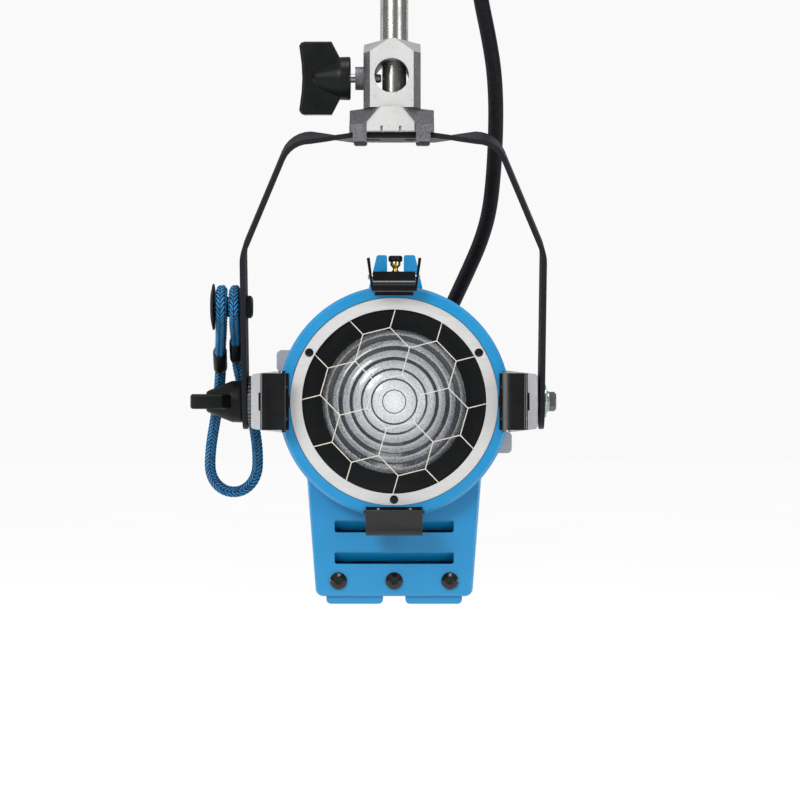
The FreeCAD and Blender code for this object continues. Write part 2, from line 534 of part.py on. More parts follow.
for sign in (-1, 1):
    for yy in (-11.0, 11.0):
        if sign < 0:
            pl = pl.cut(cyl((sign * 80.0, PY + yy, ZL + 10), (sign, 0, 0), 3.4, 10))
        else:
            pr = pr.cut(cyl((sign * 80.0, PY + yy, ZL + 10), (sign, 0, 0), 3.4, 10))
        ps.append(cyl((sign * 80.0, PY + yy, ZL + 10), (sign, 0, 0), 3.3, 3.4).cut(
            hexprism((sign * 82.2, PY + yy, ZL + 10), (sign, 0, 0), 3.0, 3)))
put("pivot_block_left", pl)
put("pivot_block_right", pr)
put("socket_screws", Part.makeCompound(ps + rs))
XL_IN = AXL + STRAP_T / 2          # inner face of the left arm
td = cyl((-84.2 - 2.2, PY, ZL), (1, 0, 0), 15.2, 2.2)
teeth = []
for k in range(36):
    t_ = box(-87, -84, -0.55, 0.55, 14.3, 16)
    t_.rotate(V(0, 0, 0), V(1, 0, 0), 10 * k)
    t_.translate(V(0, PY, ZL))
    teeth.append(t_)
td = td.cut(teeth).cut(cyl((-95, PY, ZL), (1, 0, 0), 4.3, 20))
put("tilt_disc", td)
XR_IN, XR_OUT = AXR - STRAP_T / 2, AXR + STRAP_T / 2
put("pivot_washers", Part.makeCompound([
    cyl((84.2, PY, ZL), (1, 0, 0), 5.2, XR_IN - 84.2 - 0.15).cut(cyl((80, PY, ZL), (1, 0, 0), 3.0, 20)),
    fuse(cyl((XR_OUT + 0.15, PY, ZL), (1, 0, 0), 9.7, 1.1),
         cyl((XR_OUT + 1.25, PY, ZL), (1, 0, 0), 7.4, 0.6)).cut(cyl((80, PY, ZL), (1, 0, 0), 3.0, 30)),
    cyl((XR_OUT + 1.85, PY, ZL), (1, 0, 0), 6.2, 1.2).cut(cyl((80, PY, ZL), (1, 0, 0), 3.0, 30))]))
bx = XR_OUT + 3.05
hb = hexprism((bx, PY, ZL), (1, 0, 0), 10.0, 4.2)
hb = hb.common(cone((bx, PY, ZL), (1, 0, 0), 6.9, 4.6, 4.6).fuse(cyl((bx, PY, ZL), (1, 0, 0), 5.9, 3.4)))
put("pivot_bolt", fuse(hb, cyl((64, PY, ZL), (1, 0, 0), 3.0, bx - 64)))

# ------------------------------------------------------ head: door lock, hinge
LX = 0.9
lug = fuse(pxz([(LX - 15.0, ZL + 58), (LX - 15.0, ZL + 64.6), (LX - 10.6, ZL + 82.6), (LX - 4.9, ZL + 82.6),
                (LX - 4.9, ZL + 58)], -36.9, -27.0),
           pxz([(LX + 15.0, ZL + 58), (LX + 15.0, ZL + 64.6), (LX + 10.8, ZL + 82.6), (LX + 4.5, ZL + 82.6),
                (LX + 4.5, ZL + 58)], -36.9, -27.0),
           box(LX - 5.2, LX + 5.2, -36.9, -27.0, ZL + 64.1, ZL + 67.4))
lug = lug.cut(disc_y(64.02, -40, -29.98)).cut(disc_y(60.02, -30, 0))
lug = lug.cut(box(-20, 20, -30.02, -20, ZL + 50, ZL + 64.0))
lug = lug.cut(cyl((PLUNGER[0], PLUNGER[1], ZL + 50), (0, 0, 1), 1.8, 30))
lug = fillet(lug, 1.2, lambda e: along(e, "y") and e.BoundBox.ZMin > ZL + 82)
put("lock_lug", lug)
PXY = (PLUNGER[0], PLUNGER[1])
put("plunger_pin", turned_z([(0, ZL + 62.3), (1.2, ZL + 62.3), (1.7, ZL + 63.2), (1.7, ZL + 70.9), (2.9, ZL + 70.9),
                             (2.9, ZL + 73.0), (1.5, ZL + 74.4), (1.5, ZL + 75.4), (2.9, ZL + 77.0),
                             (2.9, ZL + 79.0), (1.5, ZL + 79.0), (1.5, ZL + 81.2), (0, ZL + 81.2)], *PXY))
put("plunger_knob", turned_z([(1.5, ZL + 79.0), (3.4, ZL + 79.0), (3.95, ZL + 79.6), (3.95, ZL + 81.8),
                              (3.4, ZL + 82.4), (0, ZL + 82.4), (0, ZL + 81.2), (1.5, ZL + 81.2)], *PXY))
put("plunger_spring", turned_z([(1.95, ZL + 67.45), (2.7, ZL + 67.45), (2.7, ZL + 70.85), (1.95, ZL + 70.85)], *PXY))

hx, hy = HINGE
hb_ = []
for z0, z1 in ((-13.0, -4.3), (4.3, 13.0)):
    k_ = fuse(cyl((hx, hy, ZL + z0), (0, 0, 1), 2.8, z1 - z0), box(58, hx, hy - 1.2, -30.0, ZL + z0, ZL + z1))
    hb_.append(k_)
hbr = fuse(hb_[0], hb_[1], box(58, 66.2, -32.4, -30.0, ZL - 13, ZL + 13)).cut(disc_y(64.02, -40, -20))
hbr = hbr.cut(cyl((hx, hy, ZL - 20), (0, 0, 1), 1.3, 40))
pin_ = fuse(cyl((hx, hy, ZL - 13.6), (0, 0, 1), 1.3, 27.2), cyl((hx, hy, ZL + 13.0), (0, 0, 1), 2.2, 1.2))
put("hinge_bracket", Part.makeCompound([hbr, pin_]))
leaf = fuse(cyl((hx, hy, ZL - 4.0), (0, 0, 1), 2.8, 8.0), box(58, 69.8, -44.5, hy - 1.0, ZL - 4.0, ZL + 4.0))
leaf = leaf.cut(disc_y(65.02, -60, -36.0)).cut(disc_y(66.0, -38.0, -20)).cut(cyl((hx, hy, ZL - 20), (0, 0, 1), 1.35, 40))
put("hinge_leaf", leaf.Solids[0] if len(leaf.Solids) == 1 else max(leaf.Solids, key=lambda q: q.Volume))

# -------------------------------------------------------- head: lamp carriage
put("guide_rods", Part.makeCompound([cyl((x, -8, ZL - 44), (0, 1, 0), 2.5, 76) for x in (-20, 20)] + [
    box(-26, 26, -11.0, -8.0, ZL - 49.0, ZL - 39.5).common(disc_y(57.35, -40, 80)),
    box(-26, 26, 68.0, 69.9, ZL - 49.0, ZL - 39.5).common(disc_y(57.35, -40, 80))]))
car = box(-26, 26, 14, 40, ZL - 48.0, ZL - 40.0)
car = car.cut(cyl((-20, 0, ZL - 44), (0, 1, 0), 2.58, 60)).cut(cyl((20, 0, ZL - 44), (0, 1, 0), 2.58, 60))
riser = box(-9, 9, 20, 34, ZL - 40.0, ZL - 34.0)
tongue = box(FX - 6, FX + 6, 22, 34, ZL + FZ - 7.0, ZL - 48.0)
tongue = tongue.cut(cyl((FX, 0, ZL + FZ), (0, 1, 0), 4.3, 60))
car = fuse(car, riser, tongue)
put("lamp_carriage", car)
put("lampholder", fuse(cyl((0, 27, ZL - 34.0), (0, 0, 1), 10.0, 14.0), box(-12, 12, 22, 32, ZL - 34, ZL - 29)).cut(
    box(-5.2, -2.6, 25.4, 28.6, ZL - 26, ZL - 10)).cut(box(2.6, 5.2, 25.4, 28.6, ZL - 26, ZL - 10)))
lampg = fuse(cyl((0, 27, ZL - 19.9), (0, 0, 1), 5.6, 22.0), Part.makeSphere(5.6, V(0, 27, ZL + 2.1)),
             cyl((0, 27, ZL + 6.5), (0, 0, 1), 1.2, 3.6))
put("halogen_lamp", Part.makeCompound([lampg] + [cyl((x, 27, ZL - 25.9), (0, 0, 1), 0.7, 6.0) for x in (-3.9, 3.9)]))
refl = Part.makeSphere(24.0, V(0, 27, ZL)).cut(Part.makeSphere(22.8, V(0, 27, ZL)))
refl = refl.common(disc_y(19.0, 38, 60))
stem = fuse(box(-4, 4, 37.4, 39.4, ZL - 40.0, ZL - 18.0), box(-4, 4, 37.4, 43.0, ZL - 19.0, ZL - 16.0))
stem = stem.cut(Part.makeSphere(22.9, V(0, 27, ZL)))
put("reflector", refl.fuse(stem))
put("focus_spindle", fuse(cyl((FX, 12, ZL + FZ), (0, 1, 0), 4.0, BASE_Y1 + 14 - 12)))
kn = disc_y(13.0, BASE_Y1 + 3, BASE_Y1 + 19, FX, FZ)
kn = fuse(kn, disc_y(9.0, BASE_Y1 + 0.4, BASE_Y1 + 3, FX, FZ))
fl = []
for k in range(12):
    a = math.radians(30 * k)
    fl.append(disc_y(2.0, BASE_Y1 + 5, BASE_Y1 + 30, FX + 14.0 * math.cos(a), FZ + 14.0 * math.sin(a)))
kn = kn.cut(fl).cut(disc_y(4.0, BASE_Y1 - 5, BASE_Y1 + 14, FX, FZ))
put("focus_knob", kn)
put("terminal_block", fuse(*[fuse(box(-34 + 9 * k, -26.2 + 9 * k, 40, 58, ZL - 106.7, ZL - 98.0),
                                  box(-34 + 9 * k, -25.0 + 9 * k, 46, 52, ZL - 106.7, ZL - 99.0)) for k in range(3)]))

# -------------------------------------------------------------- cable gland
gl = fuse(hexprism((GX, BASE_Y1, ZL + GZ), (0, 1, 0), 19.0, 6.0), disc_y(8.2, BASE_Y1 + 6, BASE_Y1 + 10, GX, GZ),
          disc_y(6.9, BASE_Y1 - 6, BASE_Y1, GX, GZ))
gl = gl.cut(disc_y(4.6, 50, 120, GX, GZ))
put("cable_gland", gl)
sr = cone((GX, BASE_Y1 + 10, ZL + GZ), (0, 1, 0), 7.4, 5.6, 26).cut(disc_y(4.6, 50, 130, GX, GZ))
for k in range(6):
    y0 = BASE_Y1 + 13 + 3.6 * k
    sr = sr.cut(disc_y(9.5, y0, y0 + 1.2, GX, GZ).cut(disc_y(5.3, y0 - 1, y0 + 3, GX, GZ)))
put("strain_relief", sr)

# ----------------------------------------------------------------- lens door
fr = turned_y([(RING_R, DOOR_Y1), (RING_R, DOOR_Y0 + 2.0), (RING_R - 1.6, DOOR_Y0), (58.4, DOOR_Y0),
               (58.4, -45.5), (52.6, -45.5), (52.6, -43.0), (59.0, -43.0), (59.0, DOOR_Y1)])
for sgn in (-1, 1):
    fr = fr.cut(disc_y(3.6, DOOR_Y0 - 1, -45.5, sgn * 57.0, 0))
put("front_ring", fr)
SA = (30, 150, 270)
gr = ring_y(58.15, 51.6, -48.3, -46.6)
wg_rim = ring_y(58.1, 51.9, -46.55, -45.55)
for a in SA:
    x, z = 54.8 * math.cos(math.radians(a)), 54.8 * math.sin(math.radians(a))
    gr = gr.cut(disc_y(1.6, -50, -45, x, z)).cut(disc_y(2.35, -50, -47.4, x, z))
    wg_rim = wg_rim.cut(disc_y(1.6, -50, -40, x, z))
put("guard_ring", gr)
wires = set()
a0 = math.radians(14.0)
cells = [(0.0, 0.0)] + [(HEX_EDGE * math.sqrt(3) * math.cos(a0 + math.radians(30 + 60 * k)),
                         HEX_EDGE * math.sqrt(3) * math.sin(a0 + math.radians(30 + 60 * k))) for k in range(6)]
def vert(c, k):
    return (round(c[0] + HEX_EDGE * math.cos(a0 + math.radians(60 * k)), 3),
            round(c[1] + HEX_EDGE * math.sin(a0 + math.radians(60 * k)), 3))
for c_ in cells:
    for k in range(6):
        wires.add(tuple(sorted((vert(c_, k), vert(c_, k + 1)))))
deg = {}
for p, q in wires:
    deg.setdefault(p, []).append(q)
    deg.setdefault(q, []).append(p)
for p, qs in list(deg.items()):
    if len(qs) == 2:
        ox = 2 * p[0] - (qs[0][0] + qs[1][0]) / 2
        oz = 2 * p[1] - (qs[0][1] + qs[1][1]) / 2
        d = math.hypot(ox - p[0], oz - p[1])
        wires.add((p, (p[0] + (ox - p[0]) / d * 22, p[1] + (oz - p[1]) / d * 22)))
bars = []
WR = 0.28
for p, q in wires:
    L = math.hypot(q[0] - p[0], q[1] - p[1])
    b = box(-WR, L + WR, -46.45, -45.65, -WR, WR)
    b.rotate(V(0, 0, 0), V(0, 1, 0), -math.degrees(math.atan2(q[1] - p[1], q[0] - p[0])))
    b.translate(V(p[0], 0, ZL + p[1]))
    bars.append(b)
bars = bars[0].fuse(bars[1:]).common(disc_y(52.4, -50, -40))
wg = wg_rim.fuse(bars)
put("wire_guard", wg)
gs = []
for a in SA:
    x, z = 54.8 * math.cos(math.radians(a)), 54.8 * math.sin(math.radians(a))
    s = fuse(disc_y(2.3, -48.6, -47.4, x, z), disc_y(1.55, -47.4, -45.5, x, z)).cut(
        hexprism((x, -49, ZL + z), (0, 1, 0), 1.6, 0.9))
    gs.append(s)
put("guard_screws", Part.makeCompound(gs))
fn = turned_y([(52.5, -45.4), (52.5, -44.2), (50.4, -44.2), (41.6, -29.2), (41.6, -28.4), (40.6, -28.4),
               (40.6, -29.4), (49.8, -45.4)])
put("lens_funnel", fn)
zones = [0, 6.6, 12.1, 17.9, 23.8, 29.9, 35.9, 39.8]
prof = [(0, -13.0), (LENS_R, -13.0), (LENS_R, -24.4), (zones[-1], -24.4)]
for i in range(len(zones) - 1, 0, -1):
    r0, r1 = zones[i - 1], zones[i]
    drop = 0.9 + 2.4 * (r1 / 40.0)
    prof.append((r1, -25.4 + 0.0))
    if r0 > 0:
        prof.append((r0, -25.4 - drop))
    else:
        prof.append((0, -25.4 - 0.9))
lens = turned_y(prof)
put("lens", lens)
lr = turned_y([(52.5, -43.0), (52.5, -41.4), (46.0, -28.2), (46.0, -12.0), (41.0, -12.0), (41.0, -12.95),
               (42.1, -12.95), (42.1, -28.2), (51.2, -44.1), (52.5, -44.1)])
put("lens_retainer", lr)
tab = box(-4, 5.4, -41.9, -30.25, ZL + 60.8, ZL + 62.0).cut(cyl((PLUNGER[0], PLUNGER[1], ZL + 50), (0, 0, 1), 2.0, 30))
put("front_ring", fuse(fr, tab))

# accessory brackets: one sheet-metal profile, radial coordinate u, depth y
def arc_uy(cu, cy, r, a0, a1, n=7):
    return [(cu + r * math.cos(math.radians(a0 + (a1 - a0) * i / (n - 1))),
             cy + r * math.sin(math.radians(a0 + (a1 - a0) * i / (n - 1)))) for i in range(n)]
def bracket(wide):
    path = [(58.8, -49.0), (73.2, -49.0), (74.4, -50.2)]
    path += arc_uy(71.6, -57.7, 2.8, 0, -90)
    path += [(65.4, -60.5), (60.6, -62.4), (60.1, -61.35), (65.2, -59.3)]
    path += arc_uy(71.6, -57.7, 1.6, -90, 0)
    path += [(73.2, -50.7), (72.8, -50.2), (58.8, -50.2)]
    s = poly([(u, y, ZL - wide) for u, y in path], (0, 0, 2 * wide))
    lip = poly([(62.2, -61.75, ZL - wide - 1.2), (60.6, -62.4, ZL - wide - 1.2), (60.1, -61.35, ZL - wide - 1.2),
                (61.7, -60.7, ZL - wide - 1.2)], (0, 0, 2 * wide + 2.4))
    return fuse(s, lip)
br0 = bracket(15.8)
br0 = br0.cut(disc_y(1.55, -60, -40, 62.0, 9.0)).cut(disc_y(1.55, -60, -40, 62.0, -9.0))
tab_ = box(74.4, 75.4, -57.0, -52.0, ZL - 5.0, ZL + 5.0)
br = fuse(br0, tab_)
put("accessory_brackets", Part.makeCompound([br, turn_y(br, 180), turn_y(br0, 90)]))
riv = []
for a in (0, 90, 180):
    for dz in (9.0, -9.0):
        s = fuse(disc_y(1.5, -50.2, -46.5, 62.0, dz), cone((62.0, -50.2, ZL + dz), (0, -1, 0), 2.6, 1.6, 0.9))
        riv.append(turn_y(s, a))
fr3 = nodes["front_ring"]
for s in riv:
    c_ = s.BoundBox.Center
    fr3 = fr3.cut(cyl((c_.x, -55, c_.z), (0, 1, 0), 1.5, 8.5))
put("front_ring", fr3)
put("bracket_rivets", Part.makeCompound(riv))

# top latch and its bracket
ly, lz = LATCH
lb = fuse(box(-10.8, 10.8, -50.2, -49.0, ZL + 59.4, ZL + 64.8), box(-10.8, -7.0, -54.2, -49.4, ZL + 63.6, ZL + 71.6),
          box(7.0, 10.8, -54.2, -49.4, ZL + 63.6, ZL + 71.6), box(-10.8, 10.8, -50.8, -49.4, ZL + 63.6, ZL + 70.0))
lb = lb.cut(cyl((-20, ly, ZL + lz), (1, 0, 0), 1.2, 40)).cut(cyl((-6.8, ly, ZL + lz), (1, 0, 0), 2.25, 13.6))
put("latch_bracket", lb)
put("latch_pin", Part.makeCompound([cyl((-14.6, ly, ZL + lz), (1, 0, 0), 1.2, 29.2),
    cyl((-6.4, ly, ZL + lz), (1, 0, 0), 2.1, 12.8).cut(cyl((-7, ly, ZL + lz), (1, 0, 0), 1.25, 14))]))
ear = [(11.3, 61.6), (12.5, 61.4), (13.2, 66.0), (15.2, 79.6), (13.5, 80.0), (12.0, 67.0)]
tl = fuse(pxz([(x, ZL + z) for x, z in ear], -60.4, -49.6), pxz([(-x, ZL + z) for x, z in ear], -60.4, -49.6),
          box(-11.8, 11.8, -60.4, -59.2, ZL + 62.6, ZL + 72.2),
          pyz([(-60.4, ZL + 62.8), (-59.2, ZL + 62.8), (-57.8, ZL + 61.4), (-58.6, ZL + 60.9), (-60.4, ZL + 61.6)], -11.8, 11.8),
          pyz([(-60.4, ZL + 64.6), (-61.2, ZL + 65.4), (-61.2, ZL + 66.2), (-60.4, ZL + 67.0)], -11.8, 11.8))
trim_ = pyz([(-49.0, ZL + 60), (-54.6, ZL + 60), (-49.0, ZL + 66.0)], -20, 20)
tl = tl.cut(trim_).cut(cyl((-20, ly, ZL + lz), (1, 0, 0), 1.26, 40))
put("top_latch", tl)

# ------------------------------------------------------------------- export
bb = None
for n in sorted(nodes):
    s = nodes[n]
    s.exportStep("parts/%s.step" % n)
    b = s.BoundBox
    ok = s.isValid()
    if bb is None:
        bb = FreeCAD.BoundBox(b)
    else:
        bb.add(b)
    print("%-20s %2d solids valid=%s vol=%9.1f  x %.1f..%.1f y %.1f..%.1f z %.1f..%.1f" % (
        n, len(s.Solids), ok, s.Volume, b.XMin, b.XMax, b.YMin, b.YMax, b.ZMin, b.ZMax))
print(len(nodes), "nodes; box", bb)
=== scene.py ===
# Looks for the small studio fresnel spotlight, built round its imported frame. Metres, +Z up, the lens faces -Y.
import bpy, bmesh, math, random
from mathutils import Vector, Matrix


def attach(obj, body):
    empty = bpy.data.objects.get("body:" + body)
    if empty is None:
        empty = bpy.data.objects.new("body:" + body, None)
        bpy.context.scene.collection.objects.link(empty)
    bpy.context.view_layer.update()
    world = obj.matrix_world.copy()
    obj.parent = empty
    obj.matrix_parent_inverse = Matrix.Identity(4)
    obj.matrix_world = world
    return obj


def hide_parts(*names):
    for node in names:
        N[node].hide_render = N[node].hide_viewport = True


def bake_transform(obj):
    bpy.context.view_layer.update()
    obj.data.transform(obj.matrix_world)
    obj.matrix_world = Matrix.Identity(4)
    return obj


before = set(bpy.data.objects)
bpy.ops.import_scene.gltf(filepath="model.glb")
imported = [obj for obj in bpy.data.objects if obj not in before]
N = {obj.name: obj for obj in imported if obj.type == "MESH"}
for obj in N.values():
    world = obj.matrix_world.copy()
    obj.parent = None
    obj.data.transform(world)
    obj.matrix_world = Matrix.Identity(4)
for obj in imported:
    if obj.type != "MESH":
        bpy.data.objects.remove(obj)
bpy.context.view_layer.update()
ZL = -0.368
PY = (-0.2155 + 0.368) * math.tan(math.radians(15))
random.seed(7)
scene = bpy.context.scene
scene.view_settings.view_transform = "Standard"

def link(ob):
    scene.collection.objects.link(ob)
    return ob

# ------------------------------------------------------------------- camera
cam = bpy.data.cameras.new("camera")
cam.sensor_width = 36.0
cam.lens = 36.0 * 1.5 / 0.4624
cam.clip_start, cam.clip_end = 0.02, 30.0
camera = link(bpy.data.objects.new("camera", cam))
camera.location = (0.0033, -1.5, ZL + 0.0009)
camera.rotation_euler = (math.radians(90), 0, 0)
scene.camera = camera

# ------------------------------------------------------------ mesh helpers
def new_mesh(name, verts, faces, mat=None, smooth=True, uvs=None, attr=None):
    me = bpy.data.meshes.new(name)
    me.from_pydata([tuple(v) for v in verts], [], faces)
    me.validate()
    if smooth:
        me.polygons.foreach_set("use_smooth", [True] * len(me.polygons))
    if uvs is not None:
        uv = me.uv_layers.new(name="UVMap")
        for lp in me.loops:
            uv.data[lp.index].uv = uvs[lp.vertex_index]
    if attr is not None:
        for nm, vals in attr.items():
            a = me.attributes.new(nm, "FLOAT", "POINT")
            a.data.foreach_set("value", vals)
    ob = link(bpy.data.objects.new(name, me))
    if mat:
        me.materials.append(mat)
    return ob

def nurbs_points(name, pts, res=16):
    cu = bpy.data.curves.new(name, "CURVE")
    cu.dimensions = "3D"
    cu.resolution_u = res
    sp = cu.splines.new("NURBS")
    sp.points.add(len(pts) - 1)
    for p, c in zip(sp.points, pts):
        p.co = (c[0], c[1], c[2], 1.0)
    sp.order_u = 3
    sp.use_endpoint_u = True
    ob = link(bpy.data.objects.new(name, cu))
    bpy.context.view_layer.update()
    me = bpy.data.meshes.new_from_object(ob)
    out = [v.co.copy() for v in me.vertices]
    bpy.data.meshes.remove(me)
    bpy.data.objects.remove(ob)
    bpy.data.curves.remove(cu)
    return out

def resample(pts, step):
    acc = [0.0]
    for a, b in zip(pts[:-1], pts[1:]):
        acc.append(acc[-1] + (b - a).length)
    total = acc[-1]
    n = max(2, int(round(total / step)))
    out, j = [], 0
    for i in range(n + 1):
        s = total * i / n
        while j < len(acc) - 2 and acc[j + 1] < s:
            j += 1
        seg = acc[j + 1] - acc[j]
        t = 0 if seg < 1e-12 else (s - acc[j]) / seg
        out.append(pts[j].lerp(pts[j + 1], min(1, max(0, t))))
    return out, total

def frames(pts, up=None):
    T = []
    for i in range(len(pts)):
        a, b = pts[max(0, i - 1)], pts[min(len(pts) - 1, i + 1)]
        T.append((b - a).normalized())
    n = T[0].orthogonal().normalized() if up is None else (up - T[0] * up.dot(T[0])).normalized()
    out = []
    for i, t in enumerate(T):
        if i:
            ax = T[i - 1].cross(t)
            if ax.length > 1e-9:
                n = Matrix.Rotation(T[i - 1].angle(t), 3, ax.normalized()) @ n
        n = (n - t * n.dot(t)).normalized()
        out.append((t, n, t.cross(n)))
    return out

def tube(name, pts, radius, sides, mat, rfun=None, cap=True, up=None, attrfun=None):
    """radius in metres; rfun(s, angle) gives the true radius; attrfun(s, angle) a float on each point"""
    F = frames(pts, up)
    verts, faces, uvs, vals = [], [], [], []
    s = 0.0
    for i, p in enumerate(pts):
        if i:
            s += (p - pts[i - 1]).length
        t, n, b = F[i]
        for k in range(sides):
            a = 2 * math.pi * k / sides
            r = rfun(s, a) if rfun else radius
            verts.append(p + (n * math.cos(a) + b * math.sin(a)) * r)
            uvs.append((k / sides, s))
            if attrfun:
                vals.append(attrfun(s, a))
    m = len(pts)
    for i in range(m - 1):
        for k in range(sides):
            k2 = (k + 1) % sides
            faces.append((i * sides + k, i * sides + k2, (i + 1) * sides + k2, (i + 1) * sides + k))
    if cap:
        faces.append(tuple(range(sides - 1, -1, -1)))
        faces.append(tuple((m - 1) * sides + k for k in range(sides)))
    return new_mesh(name, verts, faces, mat, True, uvs, {"strand_tone_and_crevice_shade": vals} if attrfun else None)

def lathe(name, prof, centre, axis, mat, seg=128, mats=None, face_mat=None, rfun=None):
    """prof: (radius, distance along axis) points, an open or closed loop turned about the axis"""
    ax = Vector(axis).normalized()
    u = ax.orthogonal().normalized()
    if abs(ax.y) > 0.9:
        u = Vector((1, 0, 0))
    v = ax.cross(u)
    c = Vector(centre)
    verts, faces, rings = [], [], []
    for r, d in prof:
        if r < 1e-9:
            rings.append([len(verts)])
            verts.append(c + ax * d)
        else:
            ring = []
            for k in range(seg):
                a = 2 * math.pi * k / seg
                rr = rfun(r, d, a) if rfun else r
                ring.append(len(verts))
                verts.append(c + ax * d + (u * math.cos(a) + v * math.sin(a)) * rr)
            rings.append(ring)
    idx = []
    for i in range(len(rings) - 1):
        A, B = rings[i], rings[i + 1]
        for k in range(seg):
            k2 = (k + 1) % seg
            if len(A) == 1 and len(B) == 1:
                continue
            if len(A) == 1:
                faces.append((A[0], B[k2], B[k]))
            elif len(B) == 1:
                faces.append((A[k], A[k2], B[0]))
            else:
                faces.append((A[k], A[k2], B[k2], B[k]))
            idx.append(i)
    ob = new_mesh(name, verts, faces, mat)
    if mats:
        for m_ in mats:
            ob.data.materials.append(m_)
        for p, i in zip(ob.data.polygons, idx):
            p.material_index = face_mat(i)
    bm = bmesh.new()
    bm.from_mesh(ob.data)
    bmesh.ops.recalc_face_normals(bm, faces=bm.faces)
    bm.to_mesh(ob.data)
    bm.free()
    return ob

def edge_split_shade(ob, deg=35):
    m = ob.modifiers.new("edge", "EDGE_SPLIT")
    m.split_angle = math.radians(deg)

# --------------------------------------------------------------- materials
class Mat:
    def __init__(self, name):
        self.m = bpy.data.materials.new(name)
        self.m.use_nodes = True
        self.nt = self.m.node_tree
        self.b = next(n for n in self.nt.nodes if n.type == "BSDF_PRINCIPLED")
        self.co = self.nt.nodes.new("ShaderNodeTexCoord").outputs["Object"]
    def node(self, t, **kw):
        n = self.nt.nodes.new(t)
        for k, v in kw.items():
            setattr(n, k, v)
        return n
    def link(self, a, b):
        self.nt.links.new(a, b)
    def mapped(self, scale=(1, 1, 1), rot=(0, 0, 0), src=None):
        mp = self.node("ShaderNodeMapping")
        mp.inputs["Scale"].default_value = scale
        mp.inputs["Rotation"].default_value = rot
        self.link(src or self.co, mp.inputs["Vector"])
        return mp.outputs["Vector"]
    def noise(self, scale, detail=4, rough=0.55, vec=None, dist=0.0):
        n = self.node("ShaderNodeTexNoise")
        n.inputs["Scale"].default_value = scale
        n.inputs["Detail"].default_value = detail
        n.inputs["Roughness"].default_value = rough
        n.inputs["Distortion"].default_value = dist
        self.link(vec or self.co, n.inputs["Vector"])
        return n.outputs["Fac"]
    def ramp(self, fac, stops, mode="LINEAR"):
        r = self.node("ShaderNodeValToRGB")
        r.color_ramp.interpolation = mode
        el = r.color_ramp.elements
        while len(el) < len(stops):
            el.new(0.5)
        for e, (p, c) in zip(el, stops):
            e.position = p
            e.color = (*c, 1) if len(c) == 3 else c
        self.link(fac, r.inputs["Fac"])
        return r.outputs["Color"]
    def range(self, fac, a0, a1, b0, b1):
        r = self.node("ShaderNodeMapRange")
        for k, v in (("From Min", a0), ("From Max", a1), ("To Min", b0), ("To Max", b1)):
            r.inputs[k].default_value = v
        self.link(fac, r.inputs["Value"])
        return r.outputs["Result"]
    def math(self, op, a, b=None, clamp=False):
        n = self.node("ShaderNodeMath", operation=op, use_clamp=clamp)
        for i, v in enumerate((a, b)):
            if v is None:
                continue
            if isinstance(v, (int, float)):
                n.inputs[i].default_value = v
            else:
                self.link(v, n.inputs[i])
        return n.outputs[0]
    def mix(self, fac, a, b, blend="MIX"):
        n = self.node("ShaderNodeMix", data_type="RGBA", blend_type=blend)
        for sock, v in ((n.inputs["Factor"], fac), (n.inputs[6], a), (n.inputs[7], b)):
            if isinstance(v, (int, float)):
                sock.default_value = v
            elif isinstance(v, tuple):
                sock.default_value = (*v, 1) if len(v) == 3 else v
            else:
                self.link(v, sock)
        return n.outputs[2]
    def bump(self, height, strength, distance, normal=None):
        n = self.node("ShaderNodeBump")
        n.inputs["Strength"].default_value = strength
        n.inputs["Distance"].default_value = distance
        self.link(height, n.inputs["Height"])
        if normal:
            self.link(normal, n.inputs["Normal"])
        return n.outputs["Normal"]
    def set(self, **kw):
        names = {"color": "Base Color", "rough": "Roughness", "metal": "Metallic", "coat": "Coat Weight",
                 "coat_rough": "Coat Roughness", "ior": "IOR", "trans": "Transmission Weight", "normal": "Normal",
                 "sheen": "Sheen Weight", "sheen_rough": "Sheen Roughness", "spec": "Specular IOR Level",
                 "aniso": "Anisotropic", "alpha": "Alpha", "subsurface": "Subsurface Weight"}
        for k, v in kw.items():
            s = self.b.inputs[names[k]]
            if isinstance(v, (int, float)):
                s.default_value = v
            elif isinstance(v, tuple):
                s.default_value = (*v, 1)
            else:
                self.link(v, s)
        return self

def scaled(c, k):
    return tuple(min(1.0, x * k) for x in c)

def painted(name, col, rough=0.35, coat=0.0, peel=(1100, 0.08, 0.0002), var=0.08, metal=0.0, wear=None, spec=0.5):
    M = Mat(name)
    big = M.noise(18, 3)
    fine = M.noise(650, 3)
    c = M.ramp(big, [(0.3, scaled(col, 1 - var)), (0.7, scaled(col, 1 + var))])
    c = M.mix(M.range(fine, 0.35, 0.7, 0.0, 0.35), c, scaled(col, 1 + 2 * var))
    if wear:
        w1 = M.noise(260, 6, 0.7)
        w2 = M.noise(24, 2)
        mask = M.math("MULTIPLY", M.range(w1, 0.66, 0.71, 0, 1), M.range(w2, 0.52, 0.62, 0, 1), True)
        c = M.mix(M.math("MULTIPLY", mask, 0.7), c, wear)
    r = M.range(M.noise(90, 5), 0.3, 0.7, rough - 0.05, rough + 0.07)
    nrm = M.bump(M.noise(peel[0], 2), peel[1], peel[2])
    nrm = M.bump(M.noise(60, 4), 0.03, 0.0006, nrm)
    M.set(color=c, rough=r, metal=metal, coat=coat, coat_rough=0.14, normal=nrm, spec=spec)
    return M.m

